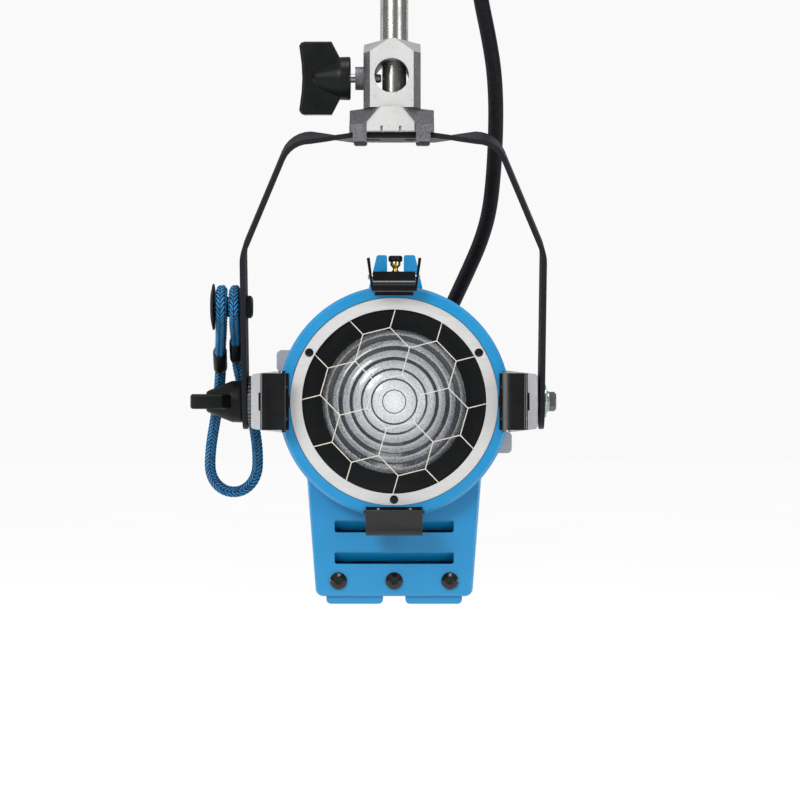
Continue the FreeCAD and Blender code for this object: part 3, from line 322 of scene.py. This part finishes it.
BLUE = (0.003, 0.195, 0.42)
m_blue = painted("paint_blue", BLUE, 0.34, 0.4, (1300, 0.16, 0.00012), 0.06, wear=(0.08, 0.33, 0.58))
m_black_powder = painted("powder_black", (0.009, 0.010, 0.013), 0.46, 0.0, (1700, 0.3, 0.00008), 0.2, wear=(0.03, 0.03, 0.034), spec=0.14)
m_black_sheet = painted("sheet_black", (0.004, 0.0043, 0.005), 0.22, 0.35, (2200, 0.05, 0.00002), 0.2, spec=0.25)
m_black_paint = painted("heatproof_black", (0.004, 0.0045, 0.005), 0.55, 0.0, (1500, 0.3, 0.0001), 0.25, spec=0.12)

def cast(name, col, rough, metal, grain=1400, depth=0.00018, strength=0.45, facet_cast_and_shade_col=None):
    M = Mat(name)
    fine = M.noise(grain, 4, 0.6)
    big = M.noise(35, 4)
    spots = M.noise(520, 2)
    c = M.ramp(big, [(0.3, scaled(col, 0.93)), (0.7, scaled(col, 1.05))])
    c = M.mix(M.range(fine, 0.4, 0.62, 0, 0.5), c, scaled(col, 0.82))
    c = M.mix(M.range(spots, 0.66, 0.72, 0, 0.55), c, scaled(col, 0.45))
    # Side facets take the dark colour, partly as-cast metal and partly painted shade. The front pad keeps the light
    # cast colour as machined metal. Faces turned up or down above z -0.172 are painted lighter as a painted highlight.
    if facet_cast_and_shade_col:
        geo = M.node("ShaderNodeTexCoord")
        sp_ = M.node("ShaderNodeSeparateXYZ")
        M.link(geo.outputs["Normal"], sp_.inputs[0])
        flat = M.math("ABSOLUTE", sp_.outputs["Y"])
        up = M.math("ABSOLUTE", sp_.outputs["Z"])
        so = M.node("ShaderNodeSeparateXYZ")
        M.link(M.co, so.inputs[0])
        inx = M.math("LESS_THAN", M.math("ABSOLUTE", M.math("ADD", so.outputs["X"], 0.0021)), 0.0136)
        high = M.math("GREATER_THAN", so.outputs["Z"], -0.172)
        machined_and_lit_mask = M.math("MAXIMUM", M.math("MULTIPLY", M.range(flat, 0.93, 0.97, 0, 1), inx),
                      M.math("MULTIPLY", M.range(up, 0.45, 0.6, 0, 0.7), high), True)
        shaded_facet_col = M.ramp(M.noise(900, 4, 0.75), [(0.38, scaled(facet_cast_and_shade_col, 0.6)), (0.62, scaled(facet_cast_and_shade_col, 1.5)), (0.74, scaled(facet_cast_and_shade_col, 3.2))])
        c = M.mix(machined_and_lit_mask, shaded_facet_col, c)
    nrm = M.bump(fine, strength, depth)
    nrm = M.bump(M.noise(240, 3), 0.25, 0.0003, nrm)
    M.set(color=c, rough=M.range(big, 0.3, 0.7, rough - 0.05, rough + 0.08), metal=metal, normal=nrm)
    return M.m

m_cast = cast("cast_aluminium", (0.50, 0.50, 0.51), 0.46, 0.4)
m_block = cast("socket_casting", (0.50, 0.495, 0.49), 0.46, 0.3, facet_cast_and_shade_col=(0.10, 0.102, 0.108))
m_silver = cast("extruded_aluminium", (0.46, 0.47, 0.50), 0.36, 0.65, 900, 0.0001, 0.2)

def brushed(name, col, rough, axis_scale, metal=0.9, strength=0.3, var=0.12, depth=0.00006):
    M = Mat(name)
    v = M.mapped(axis_scale)
    st = M.noise(1.0, 5, 0.7, v)
    st2 = M.noise(3.1, 3, 0.6, v)
    c = M.ramp(st, [(0.3, scaled(col, 1 - var)), (0.7, scaled(col, 1 + var * 0.5))])
    c = M.mix(M.range(st2, 0.6, 0.75, 0, 0.4), c, scaled(col, 0.7))
    M.set(color=c, rough=M.range(st, 0.3, 0.7, rough - 0.08, rough + 0.1), metal=metal, normal=M.bump(st, strength, depth))
    return M.m

m_brushed = brushed("brushed_ring", (0.62, 0.615, 0.61), 0.42, (90, 90, 3800), 0.55, 0.35, 0.10)
m_zinc = brushed("zinc_steel", (0.36, 0.40, 0.40), 0.3, (300, 300, 2500), 0.95, 0.2)
m_guard = brushed("guard_wire", (0.72, 0.68, 0.60), 0.4, (900, 900, 900), 0.55, 0.15)
m_teeth = brushed("dark_steel", (0.13, 0.13, 0.135), 0.4, (500, 500, 1800), 0.8, 0.2)

def spigot_material():
    M = Mat("spigot_steel")
    turn = M.noise(1.0, 4, 0.75, M.mapped((40, 40, 2600)))
    scr = M.noise(1.0, 5, 0.7, M.mapped((900, 900, 120)))
    blot = M.noise(95, 5, 0.65, None, 0.6)
    c = M.ramp(blot, [(0.30, (0.24, 0.235, 0.225)), (0.5, (0.36, 0.355, 0.34)), (0.70, (0.47, 0.465, 0.45))])
    c = M.mix(M.range(turn, 0.60, 0.70, 0, 0.5), c, (0.12, 0.115, 0.11))
    c = M.mix(M.range(scr, 0.66, 0.74, 0, 0.4), c, (0.62, 0.61, 0.58))
    n = M.bump(turn, 0.10, 0.00005)
    n = M.bump(scr, 0.08, 0.00004, n)
    M.set(color=c, rough=M.range(blot, 0.3, 0.7, 0.34, 0.24), metal=0.95, normal=n)
    return M.m
m_spigot = spigot_material()

def plastic(name, col, rough=0.5, grain=1900, strength=0.35):
    M = Mat(name)
    g = M.noise(grain, 2)
    big = M.noise(55, 3)
    c = M.ramp(big, [(0.3, scaled(col, 0.8)), (0.7, scaled(col, 1.25))])
    M.set(color=c, rough=M.range(big, 0.3, 0.7, rough - 0.06, rough + 0.08),
          normal=M.bump(g, strength, 0.00008), spec=0.13)
    return M.m
m_plastic = plastic("nylon_black", (0.006, 0.0065, 0.0068), 0.36)
m_plug = plastic("plug_rubber", (0.012, 0.012, 0.013), 0.6, 1200, 0.4)
m_ceramic = plastic("steatite", (0.72, 0.69, 0.62), 0.4, 700, 0.2)

def cable_material():
    M = Mat("cable_rubber")
    uv = M.node("ShaderNodeUVMap").outputs["UV"]
    v = M.mapped((1.0, 1.0, 1.0), src=uv)
    lines = M.noise(1.0, 3, 0.6, M.mapped((90, 8, 1), src=uv))
    dust = M.noise(420, 4, 0.7)
    c = M.ramp(dust, [(0.35, (0.004, 0.0043, 0.0055)), (0.62, (0.007, 0.0075, 0.010)), (0.75, (0.016, 0.016, 0.019))])
    n = M.bump(lines, 0.35, 0.00012)
    n = M.bump(M.noise(1500, 3), 0.25, 0.00008, n)
    M.set(color=c, rough=M.range(dust, 0.3, 0.7, 0.40, 0.56), normal=n, spec=0.08)
    return M.m
m_cable = cable_material()

def rope_material():
    M = Mat("rope_braid")
    a = M.node("ShaderNodeAttribute", attribute_name="strand_tone_and_crevice_shade").outputs["Fac"]
    fib = M.noise(2600, 3, 0.7)
    blue = M.ramp(fib, [(0.3, (0.003, 0.15, 0.36)), (0.55, (0.008, 0.27, 0.58)), (0.75, (0.04, 0.46, 0.82))])
    navy_and_crevice_shade = M.ramp(fib, [(0.3, (0.002, 0.006, 0.022)), (0.7, (0.005, 0.018, 0.06))])
    # The attribute mixes navy into the crevices as painted shade and into the braid's darker flecks as its real
    # two-tone colour.
    c = M.mix(a, navy_and_crevice_shade, blue)
    M.set(color=c, rough=0.5, normal=M.bump(fib, 0.4, 0.00006), sheen=0.06, sheen_rough=0.4, spec=0.3)
    return M.m
m_rope = rope_material()

def webbing_material():
    M = Mat("webbing")
    w = M.node("ShaderNodeTexWave", wave_type="BANDS", bands_direction="Z")
    w.inputs["Scale"].default_value = 420
    M.link(M.co, w.inputs["Vector"])
    w2 = M.node("ShaderNodeTexWave", wave_type="BANDS", bands_direction="X")
    w2.inputs["Scale"].default_value = 420
    M.link(M.co, w2.inputs["Vector"])
    h = M.math("ADD", w.outputs["Fac"], w2.outputs["Fac"])
    c = M.ramp(M.noise(800, 3), [(0.3, (0.012, 0.012, 0.013)), (0.7, (0.035, 0.035, 0.038))])
    M.set(color=c, rough=0.85, normal=M.bump(h, 0.5, 0.0002), sheen=0.3)
    return M.m
m_web = webbing_material()

def brass_material():
    M = Mat("brass")
    st = M.noise(1.0, 4, 0.6, M.mapped((300, 300, 3000)))
    c = M.ramp(st, [(0.3, (0.62, 0.42, 0.10)), (0.7, (0.90, 0.68, 0.25))])
    M.set(color=c, rough=M.range(st, 0.3, 0.7, 0.16, 0.3), metal=1.0, normal=M.bump(st, 0.2, 0.00005))
    return M.m
m_brass = brass_material()

def mirror_material():
    M = Mat("reflector")
    d = M.noise(220, 4, 0.6)
    M.set(color=M.ramp(d, [(0.3, (0.80, 0.79, 0.76)), (0.7, (0.92, 0.91, 0.89))]), rough=M.range(d, 0.3, 0.7, 0.08, 0.2),
          metal=1.0, normal=M.bump(d, 0.1, 0.0002))
    return M.m
m_mirror = mirror_material()

def quartz_material():
    M = Mat("quartz")
    d = M.noise(300, 2)
    M.set(color=M.ramp(d, [(0.3, (0.93, 0.94, 0.95)), (0.7, (1, 1, 1))]), rough=M.range(d, 0.3, 0.7, 0.02, 0.06),
          trans=1.0, ior=1.46)
    return M.m
m_quartz = quartz_material()

def lens_material():
    """pressed glass: clear body over a stippled back, so it looks frosted; its colour is painted light, brightest at
    the centre and greyer towards the rim, lifted a little at the outer ring
    """
    M = Mat("lens_glass")
    sep = M.node("ShaderNodeSeparateXYZ")
    M.link(M.co, sep.inputs[0])
    dz = M.math("SUBTRACT", sep.outputs["Z"], ZL)
    r = M.math("SQRT", M.math("ADD", M.math("POWER", sep.outputs["X"], 2.0), M.math("POWER", dz, 2.0)))
    rn = M.range(r, 0.0, 0.040, 0.0, 1.0)
    stip = M.noise(1500, 3, 0.75)
    stip2 = M.noise(620, 3, 0.6)
    # Painted light: both ramps run from a bright centre, a painted glow of the lamp and reflector through the glass, to
    # grey outwards, and the first ramp is lifted again at the rim. The stipple mix is the glass's own frosting.
    lamp_glow_col = M.ramp(rn, [(0.0, (0.90, 0.92, 0.95)), (0.30, (0.70, 0.72, 0.745)), (0.6, (0.50, 0.52, 0.54)),
                       (1.0, (0.66, 0.68, 0.70))])
    dark_stipple_glow = M.ramp(rn, [(0.0, (0.68, 0.70, 0.72)), (0.3, (0.36, 0.38, 0.40)), (1.0, (0.10, 0.108, 0.12))])
    c = M.mix(M.range(stip, 0.42, 0.58, 1, 0), lamp_glow_col, dark_stipple_glow)
    c = M.mix(M.range(stip2, 0.4, 0.65, 0.0, 0.35), c, lamp_glow_col)
    n = M.bump(stip, 0.35, 0.00025)
    M.set(color=c, rough=M.range(stip2, 0.3, 0.7, 0.16, 0.28), trans=0.08, ior=1.48, normal=n,
          coat=0.6, coat_rough=0.06)
    return M.m
m_lens = lens_material()

# The lens's step walls get a near-black glass: painted shade, since the same clear glass only looks dark there.
def riser_shade_material():
    M = Mat("lens_riser_painted_shade")
    s = M.noise(900, 3, 0.7)
    c = M.ramp(s, [(0.35, (0.018, 0.022, 0.028)), (0.6, (0.045, 0.052, 0.062)), (0.75, (0.16, 0.17, 0.18))])
    M.set(color=c, rough=0.22, trans=0.15, ior=1.48, normal=M.bump(s, 0.3, 0.0002), coat=0.4, coat_rough=0.1)
    return M.m
m_riser_shade = riser_shade_material()

def clean_glass(name):
    M = Mat(name)
    s = M.noise(700, 2)
    M.set(color=M.ramp(s, [(0.3, (0.80, 0.83, 0.84)), (0.7, (0.88, 0.9, 0.91))]), rough=M.range(s, 0.3, 0.7, 0.05, 0.12),
          trans=0.8, ior=1.48, normal=M.bump(s, 0.2, 0.0002))
    return M.m
m_glass_back = clean_glass("lens_back")

# --------------------------------------------------------------- cords first
def mm(*p):
    return Vector((p[0] / 1000, p[1] / 1000, ZL + p[2] / 1000))

# power cable: from the strain relief up behind the stirrup and into its hanging coil, then to the plug
CABLE = [(-12.0, 111.0, -77.0), (-12.2, 133.0, -78.5), (-9.5, 151.0, -68.0), (-4.0, 158.5, -45.0),
         (3.5, 151.5, -19.5), (13.0, 136.0, 6.0), (23.0, 119.0, 31.0), (33.5, 101.0, 55.5),
         (44.3, 84.0, 78.5), (52.4, 70.5, 97.0), (57.2, 59.5, 114.5), (59.2, 48.5, 136.0),
         (60.0, 39.5, 157.5), (60.0, 33.5, 177.5), (58.6, 29.5, 197.0), (55.0, 26.8, 217.0),
         (50.6, 24.8, 237.0), (48.2, 23.4, 257.0), (47.9, 23.0, 277.0)]
CO_Y, CO_Z = 23.0, 300.0            # coil centre, mm, height over the lens axis
pts = [mm(*p) for p in CABLE]
start, step = -25.7, 30.0           # the route ends on the coil at this angle
for i in range(1, 39):
    t = step * i
    if t < 300: r, y = 53.2, 18.6
    elif t < 360: f = (t - 300) / 60; r, y = 53.2 - 8.9 * f, 18.6
    elif t < 660: r, y = 44.3, 18.6
    elif t < 720: f = (t - 660) / 60; r, y = 44.3, 18.6 + 8.8 * f
    elif t < 1020: r, y = 44.3, 27.4
    elif t < 1110: f = (t - 1020) / 60; r, y = 44.3 + 5.7 * f, 27.4 + 5.1 * f
    elif t < 1140: r, y = 51.5, 34.5
    else: r, y = 51.0, 36.0
    a = math.radians(start + t)
    pts.append(mm(r * math.cos(a), y, CO_Z + r * math.sin(a)))
PL = (2.0, CO_Y + 9 + 14.2, CO_Z + 47.0)
pts += [mm(17.0, 43.6, CO_Z + 47.6), mm(0.0, 46.2, CO_Z + 47.0)]
line, total = resample(nurbs_points("cable_line", pts, 12), 0.004)
print("cable length", round(total, 3))
cable = tube("power_lead", line, 0.0045, 28, m_cable)
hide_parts("power_cable", "cable_coil")

# plug: moulded two-pin body with grip ribs, and its pins
plug_prof = [(0, 1.5), (4.6, 1.5), (5.4, 0.9), (5.6, 0.0)]
for i in range(7):
    d = -2.0 - 2.6 * i
    r0 = 5.7 + 0.42 * i
    plug_prof += [(r0, d), (r0 + 0.15, d - 0.9), (r0 - 0.9, d - 1.2), (r0 - 0.85, d - 2.0)]
plug_prof += [(8.9, -20.5), (10.6, -22.0), (12.6, -24.0), (13.4, -26.0), (12.9, -31.0), (12.7, -36.0), (13.4, -42.0),
              (13.9, -44.5), (13.6, -46.0), (12.8, -46.9), (0, -46.9)]
def plug_shape(r, d, a):
    if d > -0.022:
        return r
    f = min(1.0, (-d - 0.022) / 0.006)
    return r * (1 - 0.10 * f * abs(math.sin(a)) ** 3 + 0.012 * f * math.cos(14 * a) * (1 if d < -0.026 and d > -0.043 else 0))
plug = lathe("mains_plug", [(r / 1000, d / 1000) for r, d in plug_prof], mm(0, PL[1], PL[2]), (1, 0, 0), m_plug, 84, rfun=plug_shape)
edge_split_shade(plug, 50)
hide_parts("plug_body"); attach(plug, "yoke")
for i, dz in enumerate((-9.5, 9.5)):
    p = lathe("plug_pin_%d" % i, [(0, -65.9 / 1000), (1.5 / 1000, -65.8 / 1000), (2.3 / 1000, -64.6 / 1000), (2.4 / 1000, -63.4 / 1000),
                                 (2.4 / 1000, -47.0 / 1000), (2.4 / 1000, -46.0 / 1000), (0, -46.0 / 1000)],
              mm(0, PL[1], PL[2] + dz), (1, 0, 0), m_brass, 32)
    edge_split_shade(p, 40)
    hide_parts("plug_pins"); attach(p, "yoke")
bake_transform(cable)

# safety rope: a braided loop that hangs behind the tilt knob, with an eye at each end round the spool
ROPE_R = 0.0033
def braid(s, a):
    v = a / (2 * math.pi) * 6
    sec = math.floor(v)
    f = v - sec
    ph = s / 0.00225 + (1 if sec % 2 else -1) * (f - 0.5) * 1.5
    row = math.floor(ph)
    g = ph - row
    stripe = math.sin(math.pi * g / 0.56) if g < 0.56 else 0.0
    spine = min(1.0, min(f, 1 - f) / 0.20)
    tone = 0.55 if (row * 5 + sec * 3) % 7 == 0 else 1.0
    return max(0.0, stripe) ** 0.7 * spine, tone
def braid_r(s, a):
    return ROPE_R - 0.00042 + 0.00048 * braid(s, a)[0]
# Colour factor for the braid: the low ground between the raised stripes is painted navy as crevice shade, and some rows
# are darkened as the braid's own darker flecks.
def braid_tone_and_crevice_shade(s, a):
    h, tone = braid(s, a)
    return tone * min(1.0, max(0.0, (h - 0.22) / 0.45))

ROPE = [(-104.3, 56.7, 19.43), (-105.6, 64.6, 4.6), (-108.4, 70.2, -11.0), (-111.4, 71.6, -28.0),
        (-112.0, 71.8, -44.9), (-103.6, 71.8, -54.6), (-91.6, 71.8, -54.8), (-83.0, 71.8, -45.4),
        (-82.8, 71.6, -29.0), (-85.2, 70.0, -12.6), (-89.4, 65.6, 3.4), (-93.4, 59.6, 15.4), (-94.4, 53.7, 25.43)]
EYE_L = [(-104.3, 47.57, 28.25), (-103.43, 45.47, 31.89), (-101.4, 16.59, 50.31), (-101.4, 15.9, 59.41), (-101.4, 22.45, 65.78),
         (-101.4, 31.53, 64.81), (-103.43, 51.53, 35.39), (-104.3, 53.63, 31.75)]
EYE_R = [(-94.4, 44.57, 34.25), (-94.16, 42.47, 37.89), (-93.6, 17.15, 49.32), (-93.6, 15.56, 58.58), (-93.6, 21.81, 65.59),
         (-93.6, 31.19, 65.08), (-94.16, 48.53, 41.39), (-94.4, 50.63, 37.75)]
for nm, P in (("safety_rope", ROPE), ("safety_rope_eye_left", EYE_L), ("safety_rope_eye_right", EYE_R)):
    ln, L = resample(nurbs_points(nm, [mm(*p) for p in P], 24), 0.00026)
    ob = tube(nm, ln, ROPE_R, 60, m_rope, braid_r, attrfun=braid_tone_and_crevice_shade, up=Vector((0, -1, 0)))
    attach(ob, "yoke")
    print(nm, "length", round(L, 4))
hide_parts("rope_loop")
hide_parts("rope_eyes")
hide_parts("rope_eyes")

# shrink sleeves over the crimps
LAX = Vector((0, 0.5, -0.866)).normalized()
for nm, x, top in (("left", -104.3, (50.6, 30.0)), ("right", -94.4, (47.6, 36.0))):
    c = mm(x, top[0], top[1])
    nax = Vector((0, 0.866, 0.5))
    verts, faces = [], []
    prof = [(-0.3, 0.80), (-0.35, 0.92), (0.0, 0.97), (0.9, 1.0), (3.0, 0.975), (5.2, 1.0), (7.4, 0.97), (9.6, 0.995), (11.2, 0.98),
            (12.0, 0.93), (12.35, 0.84), (12.3, 0.70)]
    seg = 64
    for d, kf in prof:
        taper = 1 - 0.22 * max(0, (d - 6) / 6.3)
        for j in range(seg):
            a = 2 * math.pi * j / seg
            ca, sa = math.cos(a), math.sin(a)
            ex = 4.15 * abs(ca) ** 0.85 * (1 if ca >= 0 else -1)
            ey = 7.0 * taper * abs(sa) ** 0.85 * (1 if sa >= 0 else -1)
            wr = 1 + 0.014 * math.sin(3 * a + d * 1.7) * math.sin(d * 2.3)
            verts.append(c + LAX * (d / 1000) + Vector((1, 0, 0)) * (ex * kf * wr / 1000) + nax * (ey * kf * wr / 1000))
    for i in range(len(prof) - 1):
        for j in range(seg):
            j2 = (j + 1) % seg
            faces.append((i * seg + j, i * seg + j2, (i + 1) * seg + j2, (i + 1) * seg + j))
    faces.append(tuple(range(seg - 1, -1, -1)))
    faces.append(tuple((len(prof) - 1) * seg + j for j in range(seg)))
    s = new_mesh("rope_sleeve_" + nm, verts, faces, m_plastic)
    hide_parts("rope_sleeves"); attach(s, "yoke")

# --------------------------------------------------------------- lens mesh
ZN = [0.0, 6.6, 12.8, 18.4, 24.4, 30.4, 36.3, 40.4]
BW = [0, 0.55, 0.95, 1.2, 1.9, 2.5, 2.9, 0]
prof, tags = [], []
def add(r, y, tag):
    prof.append((r / 1000, y / 1000)); tags.append(tag)
crest = -28.2
for i in range(len(ZN) - 1):
    r0 = 0.0 if i == 0 else ZN[i] + BW[i] / 2
    r1 = ZN[i + 1] - BW[i + 1] / 2
    drop = 0.5 + 1.7 * (ZN[i + 1] / 40.0)
    for j in range(7):
        f = j / 6
        rr = r0 + (r1 - r0) * f
        yy = crest + drop * (f ** 1.6)
        if j == 0 and i > 0:
            add(rr, yy, 1)
        else:
            add(rr, yy, 0)
add(41.9, -25.8, 0)
add(42.0, -25.2, 0); add(42.0, -13.4, 2); add(41.6, -13.0, 2); add(30, -13.0, 2); add(15, -13.0, 2); add(0, -13.0, 2)
# Step walls (tag 1) take the near-black riser glass as painted shade; tag 2 faces take the clear back glass.
lens = lathe("fresnel_lens", prof, (0, 0, ZL), (0, 1, 0), m_lens, 200, mats=[m_riser_shade, m_glass_back],
             face_mat=lambda i: tags[i + 1])
edge_split_shade(lens, 28)
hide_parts("lens"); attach(lens, "lens_door")

# lamp filament and the plunger's spring as real coils
def helix(name, c, r, pitch, turns, wire, mat, body, axis="z", sides=8):
    pp = []
    n = int(turns * 20)
    for i in range(n + 1):
        a = 2 * math.pi * turns * i / n
        pp.append(Vector((c[0] + r * math.cos(a), c[1] + r * math.sin(a), c[2] + pitch * turns * i / n)))
    ob = tube(name, pp, wire, sides, mat)
    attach(ob, body)
    return ob
sp = helix("plunger_coil_spring", (0.0007, -0.0326, ZL + 0.0677), 0.00235, 0.00068, 4.3, 0.00026, m_zinc, "head")
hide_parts("plunger_spring")
helix("filament", (0, 0.027, ZL - 0.006), 0.0016, 0.0009, 12, 0.00022, m_zinc, "carriage", sides=6)

# --------------------------------------------------- CAD pieces: finish
TABLE = {
    "spigot": m_spigot, "yoke_stirrup": m_black_powder, "socket_block": m_block, "block_bolts": m_teeth, "rope_spool": m_black_powder,
    "rope_spool_bolt": m_black_powder, "cable_strap": m_web, "lock_knob": m_plastic, "lock_stud": m_zinc, "tilt_knob": m_plastic,
    "tilt_stud": m_zinc, "housing_shell": m_silver, "front_frame": m_blue, "rear_cover": m_blue, "base_box": m_blue,
    "base_screws": m_black_sheet, "base_louvre": m_blue, "bottom_plate": m_blue, "pivot_block_left": m_cast,
    "pivot_block_right": m_cast, "socket_screws": m_black_sheet, "tilt_disc": m_teeth, "pivot_washers": m_zinc,
    "pivot_bolt": m_teeth, "lock_lug": m_blue, "hinge_bracket": m_black_sheet, "guide_rods": m_zinc,
    "terminal_block": m_ceramic, "cable_gland": m_plastic, "strain_relief": m_plug, "lamp_carriage": m_silver,
    "lampholder": m_ceramic, "halogen_lamp": m_quartz, "reflector": m_mirror, "focus_knob": m_plastic, "focus_spindle": m_zinc,
    "front_ring": m_blue, "guard_ring": m_brushed, "wire_guard": m_guard, "guard_screws": m_black_sheet,
    "lens_funnel": m_black_paint, "lens_retainer": m_black_paint, "accessory_brackets": m_black_sheet,
    "bracket_rivets": m_black_sheet, "hinge_leaf": m_black_sheet, "latch_bracket": m_black_sheet, "latch_pin": m_zinc,
    "top_latch": m_black_sheet, "plunger_pin": m_brass, "plunger_knob": m_plastic}
BEVEL = {"socket_block": 0.6, "lock_knob": 0.7, "tilt_knob": 0.7, "pivot_block_left": 0.7, "pivot_block_right": 0.7,
         "base_box": 0.9, "bottom_plate": 0.6, "yoke_stirrup": 0.3, "accessory_brackets": 0.25, "top_latch": 0.25,
         "rear_cover": 0.6, "front_ring": 0.6, "lock_lug": 0.4, "housing_shell": 0.25, "rope_spool": 0.25,
         "rope_spool_bolt": 0.4, "base_screws": 0.25, "pivot_bolt": 0.3, "pivot_washers": 0.15, "cable_strap": 0.4,
         "latch_bracket": 0.2, "hinge_bracket": 0.2, "hinge_leaf": 0.2, "focus_knob": 0.4, "cable_gland": 0.4,
         "guard_ring": 0.12, "lampholder": 0.3, "lamp_carriage": 0.3, "plunger_knob": 0.2, "guard_screws": 0.12,
         "terminal_block": 0.3, "front_frame": 0.3, "lens_funnel": 0.15, "base_louvre": 0.15, "block_bolts": 0.2,
         "socket_screws": 0.15, "tilt_disc": 0.12, "strain_relief": 0.2, "plunger_pin": 0.1}
for n, m in TABLE.items():
    o = N[n]
    o.data.materials.clear()
    o.data.materials.append(m)
    if n in BEVEL:
        w = o.modifiers.new("weld", "WELD")
        w.merge_threshold = 1e-6
        b = o.modifiers.new("bevel", "BEVEL")
        b.width = BEVEL[n] / 1000
        b.segments = 3 if BEVEL[n] >= 0.4 else 2
        b.limit_method = "ANGLE"
        b.angle_limit = math.radians(38)
        b.use_clamp_overlap = True
        b.harden_normals = False
        wn = o.modifiers.new("normals", "WEIGHTED_NORMAL")
        wn.keep_sharp = False
        wn.weight = 60

# --------------------------------------------------------- floor and light
me = bpy.data.meshes.new("floor")
me.from_pydata([(-6, -3, -0.62), (6, -3, -0.62), (6, 9, -0.62), (-6, 9, -0.62)], [], [(0, 1, 2, 3)])
floor = link(bpy.data.objects.new("floor", me))
Mf = Mat("floor_pale")
fn = Mf.noise(3, 3)
fcol = Mf.ramp(fn, [(0.3, (0.22, 0.22, 0.22)), (0.7, (0.25, 0.25, 0.25))])
Mf.set(color=fcol, rough=0.9, spec=0.1)
Mf.b.inputs["Emission Color"].default_value = (1, 1, 1, 1)
Mf.b.inputs["Emission Strength"].default_value = 0.86
me.materials.append(Mf.m)

world = bpy.data.worlds.new("studio")
scene.world = world
world.use_nodes = True
wt = world.node_tree
bg = wt.nodes["Background"]
tc = wt.nodes.new("ShaderNodeTexCoord")
sep = wt.nodes.new("ShaderNodeSeparateXYZ")
wt.links.new(tc.outputs["Generated"], sep.inputs[0])
rz = wt.nodes.new("ShaderNodeValToRGB")
mr = wt.nodes.new("ShaderNodeMapRange")
mr.inputs["From Min"].default_value, mr.inputs["From Max"].default_value = -1, 1
wt.links.new(sep.outputs["Z"], mr.inputs["Value"])
wt.links.new(mr.outputs["Result"], rz.inputs["Fac"])
stops = [(0.0, 0.45), (0.42, 0.22), (0.5, 0.10), (0.60, 0.16), (1.0, 0.6)]
el = rz.color_ramp.elements
while len(el) < len(stops):
    el.new(0.5)
for e, (p, v) in zip(el, stops):
    e.position = p
    e.color = (v, v, v, 1)
lp = wt.nodes.new("ShaderNodeLightPath")
mx = wt.nodes.new("ShaderNodeMix")
mx.data_type = "RGBA"
wt.links.new(lp.outputs["Is Camera Ray"], mx.inputs["Factor"])
wt.links.new(rz.outputs["Color"], mx.inputs[6])
mx.inputs[7].default_value = (0.95, 0.95, 0.95, 1)
wt.links.new(mx.outputs[2], bg.inputs["Color"])
bg.inputs["Strength"].default_value = 1.0

def area(name, loc, target, size, power, size_y=None):
    l = bpy.data.lights.new(name, "AREA")
    l.shape = "RECTANGLE"
    l.size, l.size_y = size, size_y or size
    l.energy = power
    o = link(bpy.data.objects.new(name, l))
    o.location = loc
    d = Vector(target) - Vector(loc)
    o.rotation_euler = d.to_track_quat("-Z", "Y").to_euler()
    return o
T = (0, 0, ZL + 0.05)
area("key", (-0.85, -1.35, 0.45), T, 0.7, 22)
area("fill", (1.1, -1.15, 0.0), T, 0.5, 9, 1.2)
area("top", (0.1, -0.35, 1.15), T, 0.7, 13)
area("strip_left", (-1.5, 0.02, ZL - 0.14), (0, 0.02, ZL - 0.14), 0.3, 5, 0.5)
area("strip_right", (1.5, 0.02, ZL - 0.14), (0, 0.02, ZL - 0.14), 0.3, 5, 0.5)
area("rim_left", (-1.3, 0.9, 0.1), T, 0.5, 3, 1.0)
area("rim_right", (1.1, 1.1, 0.3), T, 0.5, 3, 1.0)
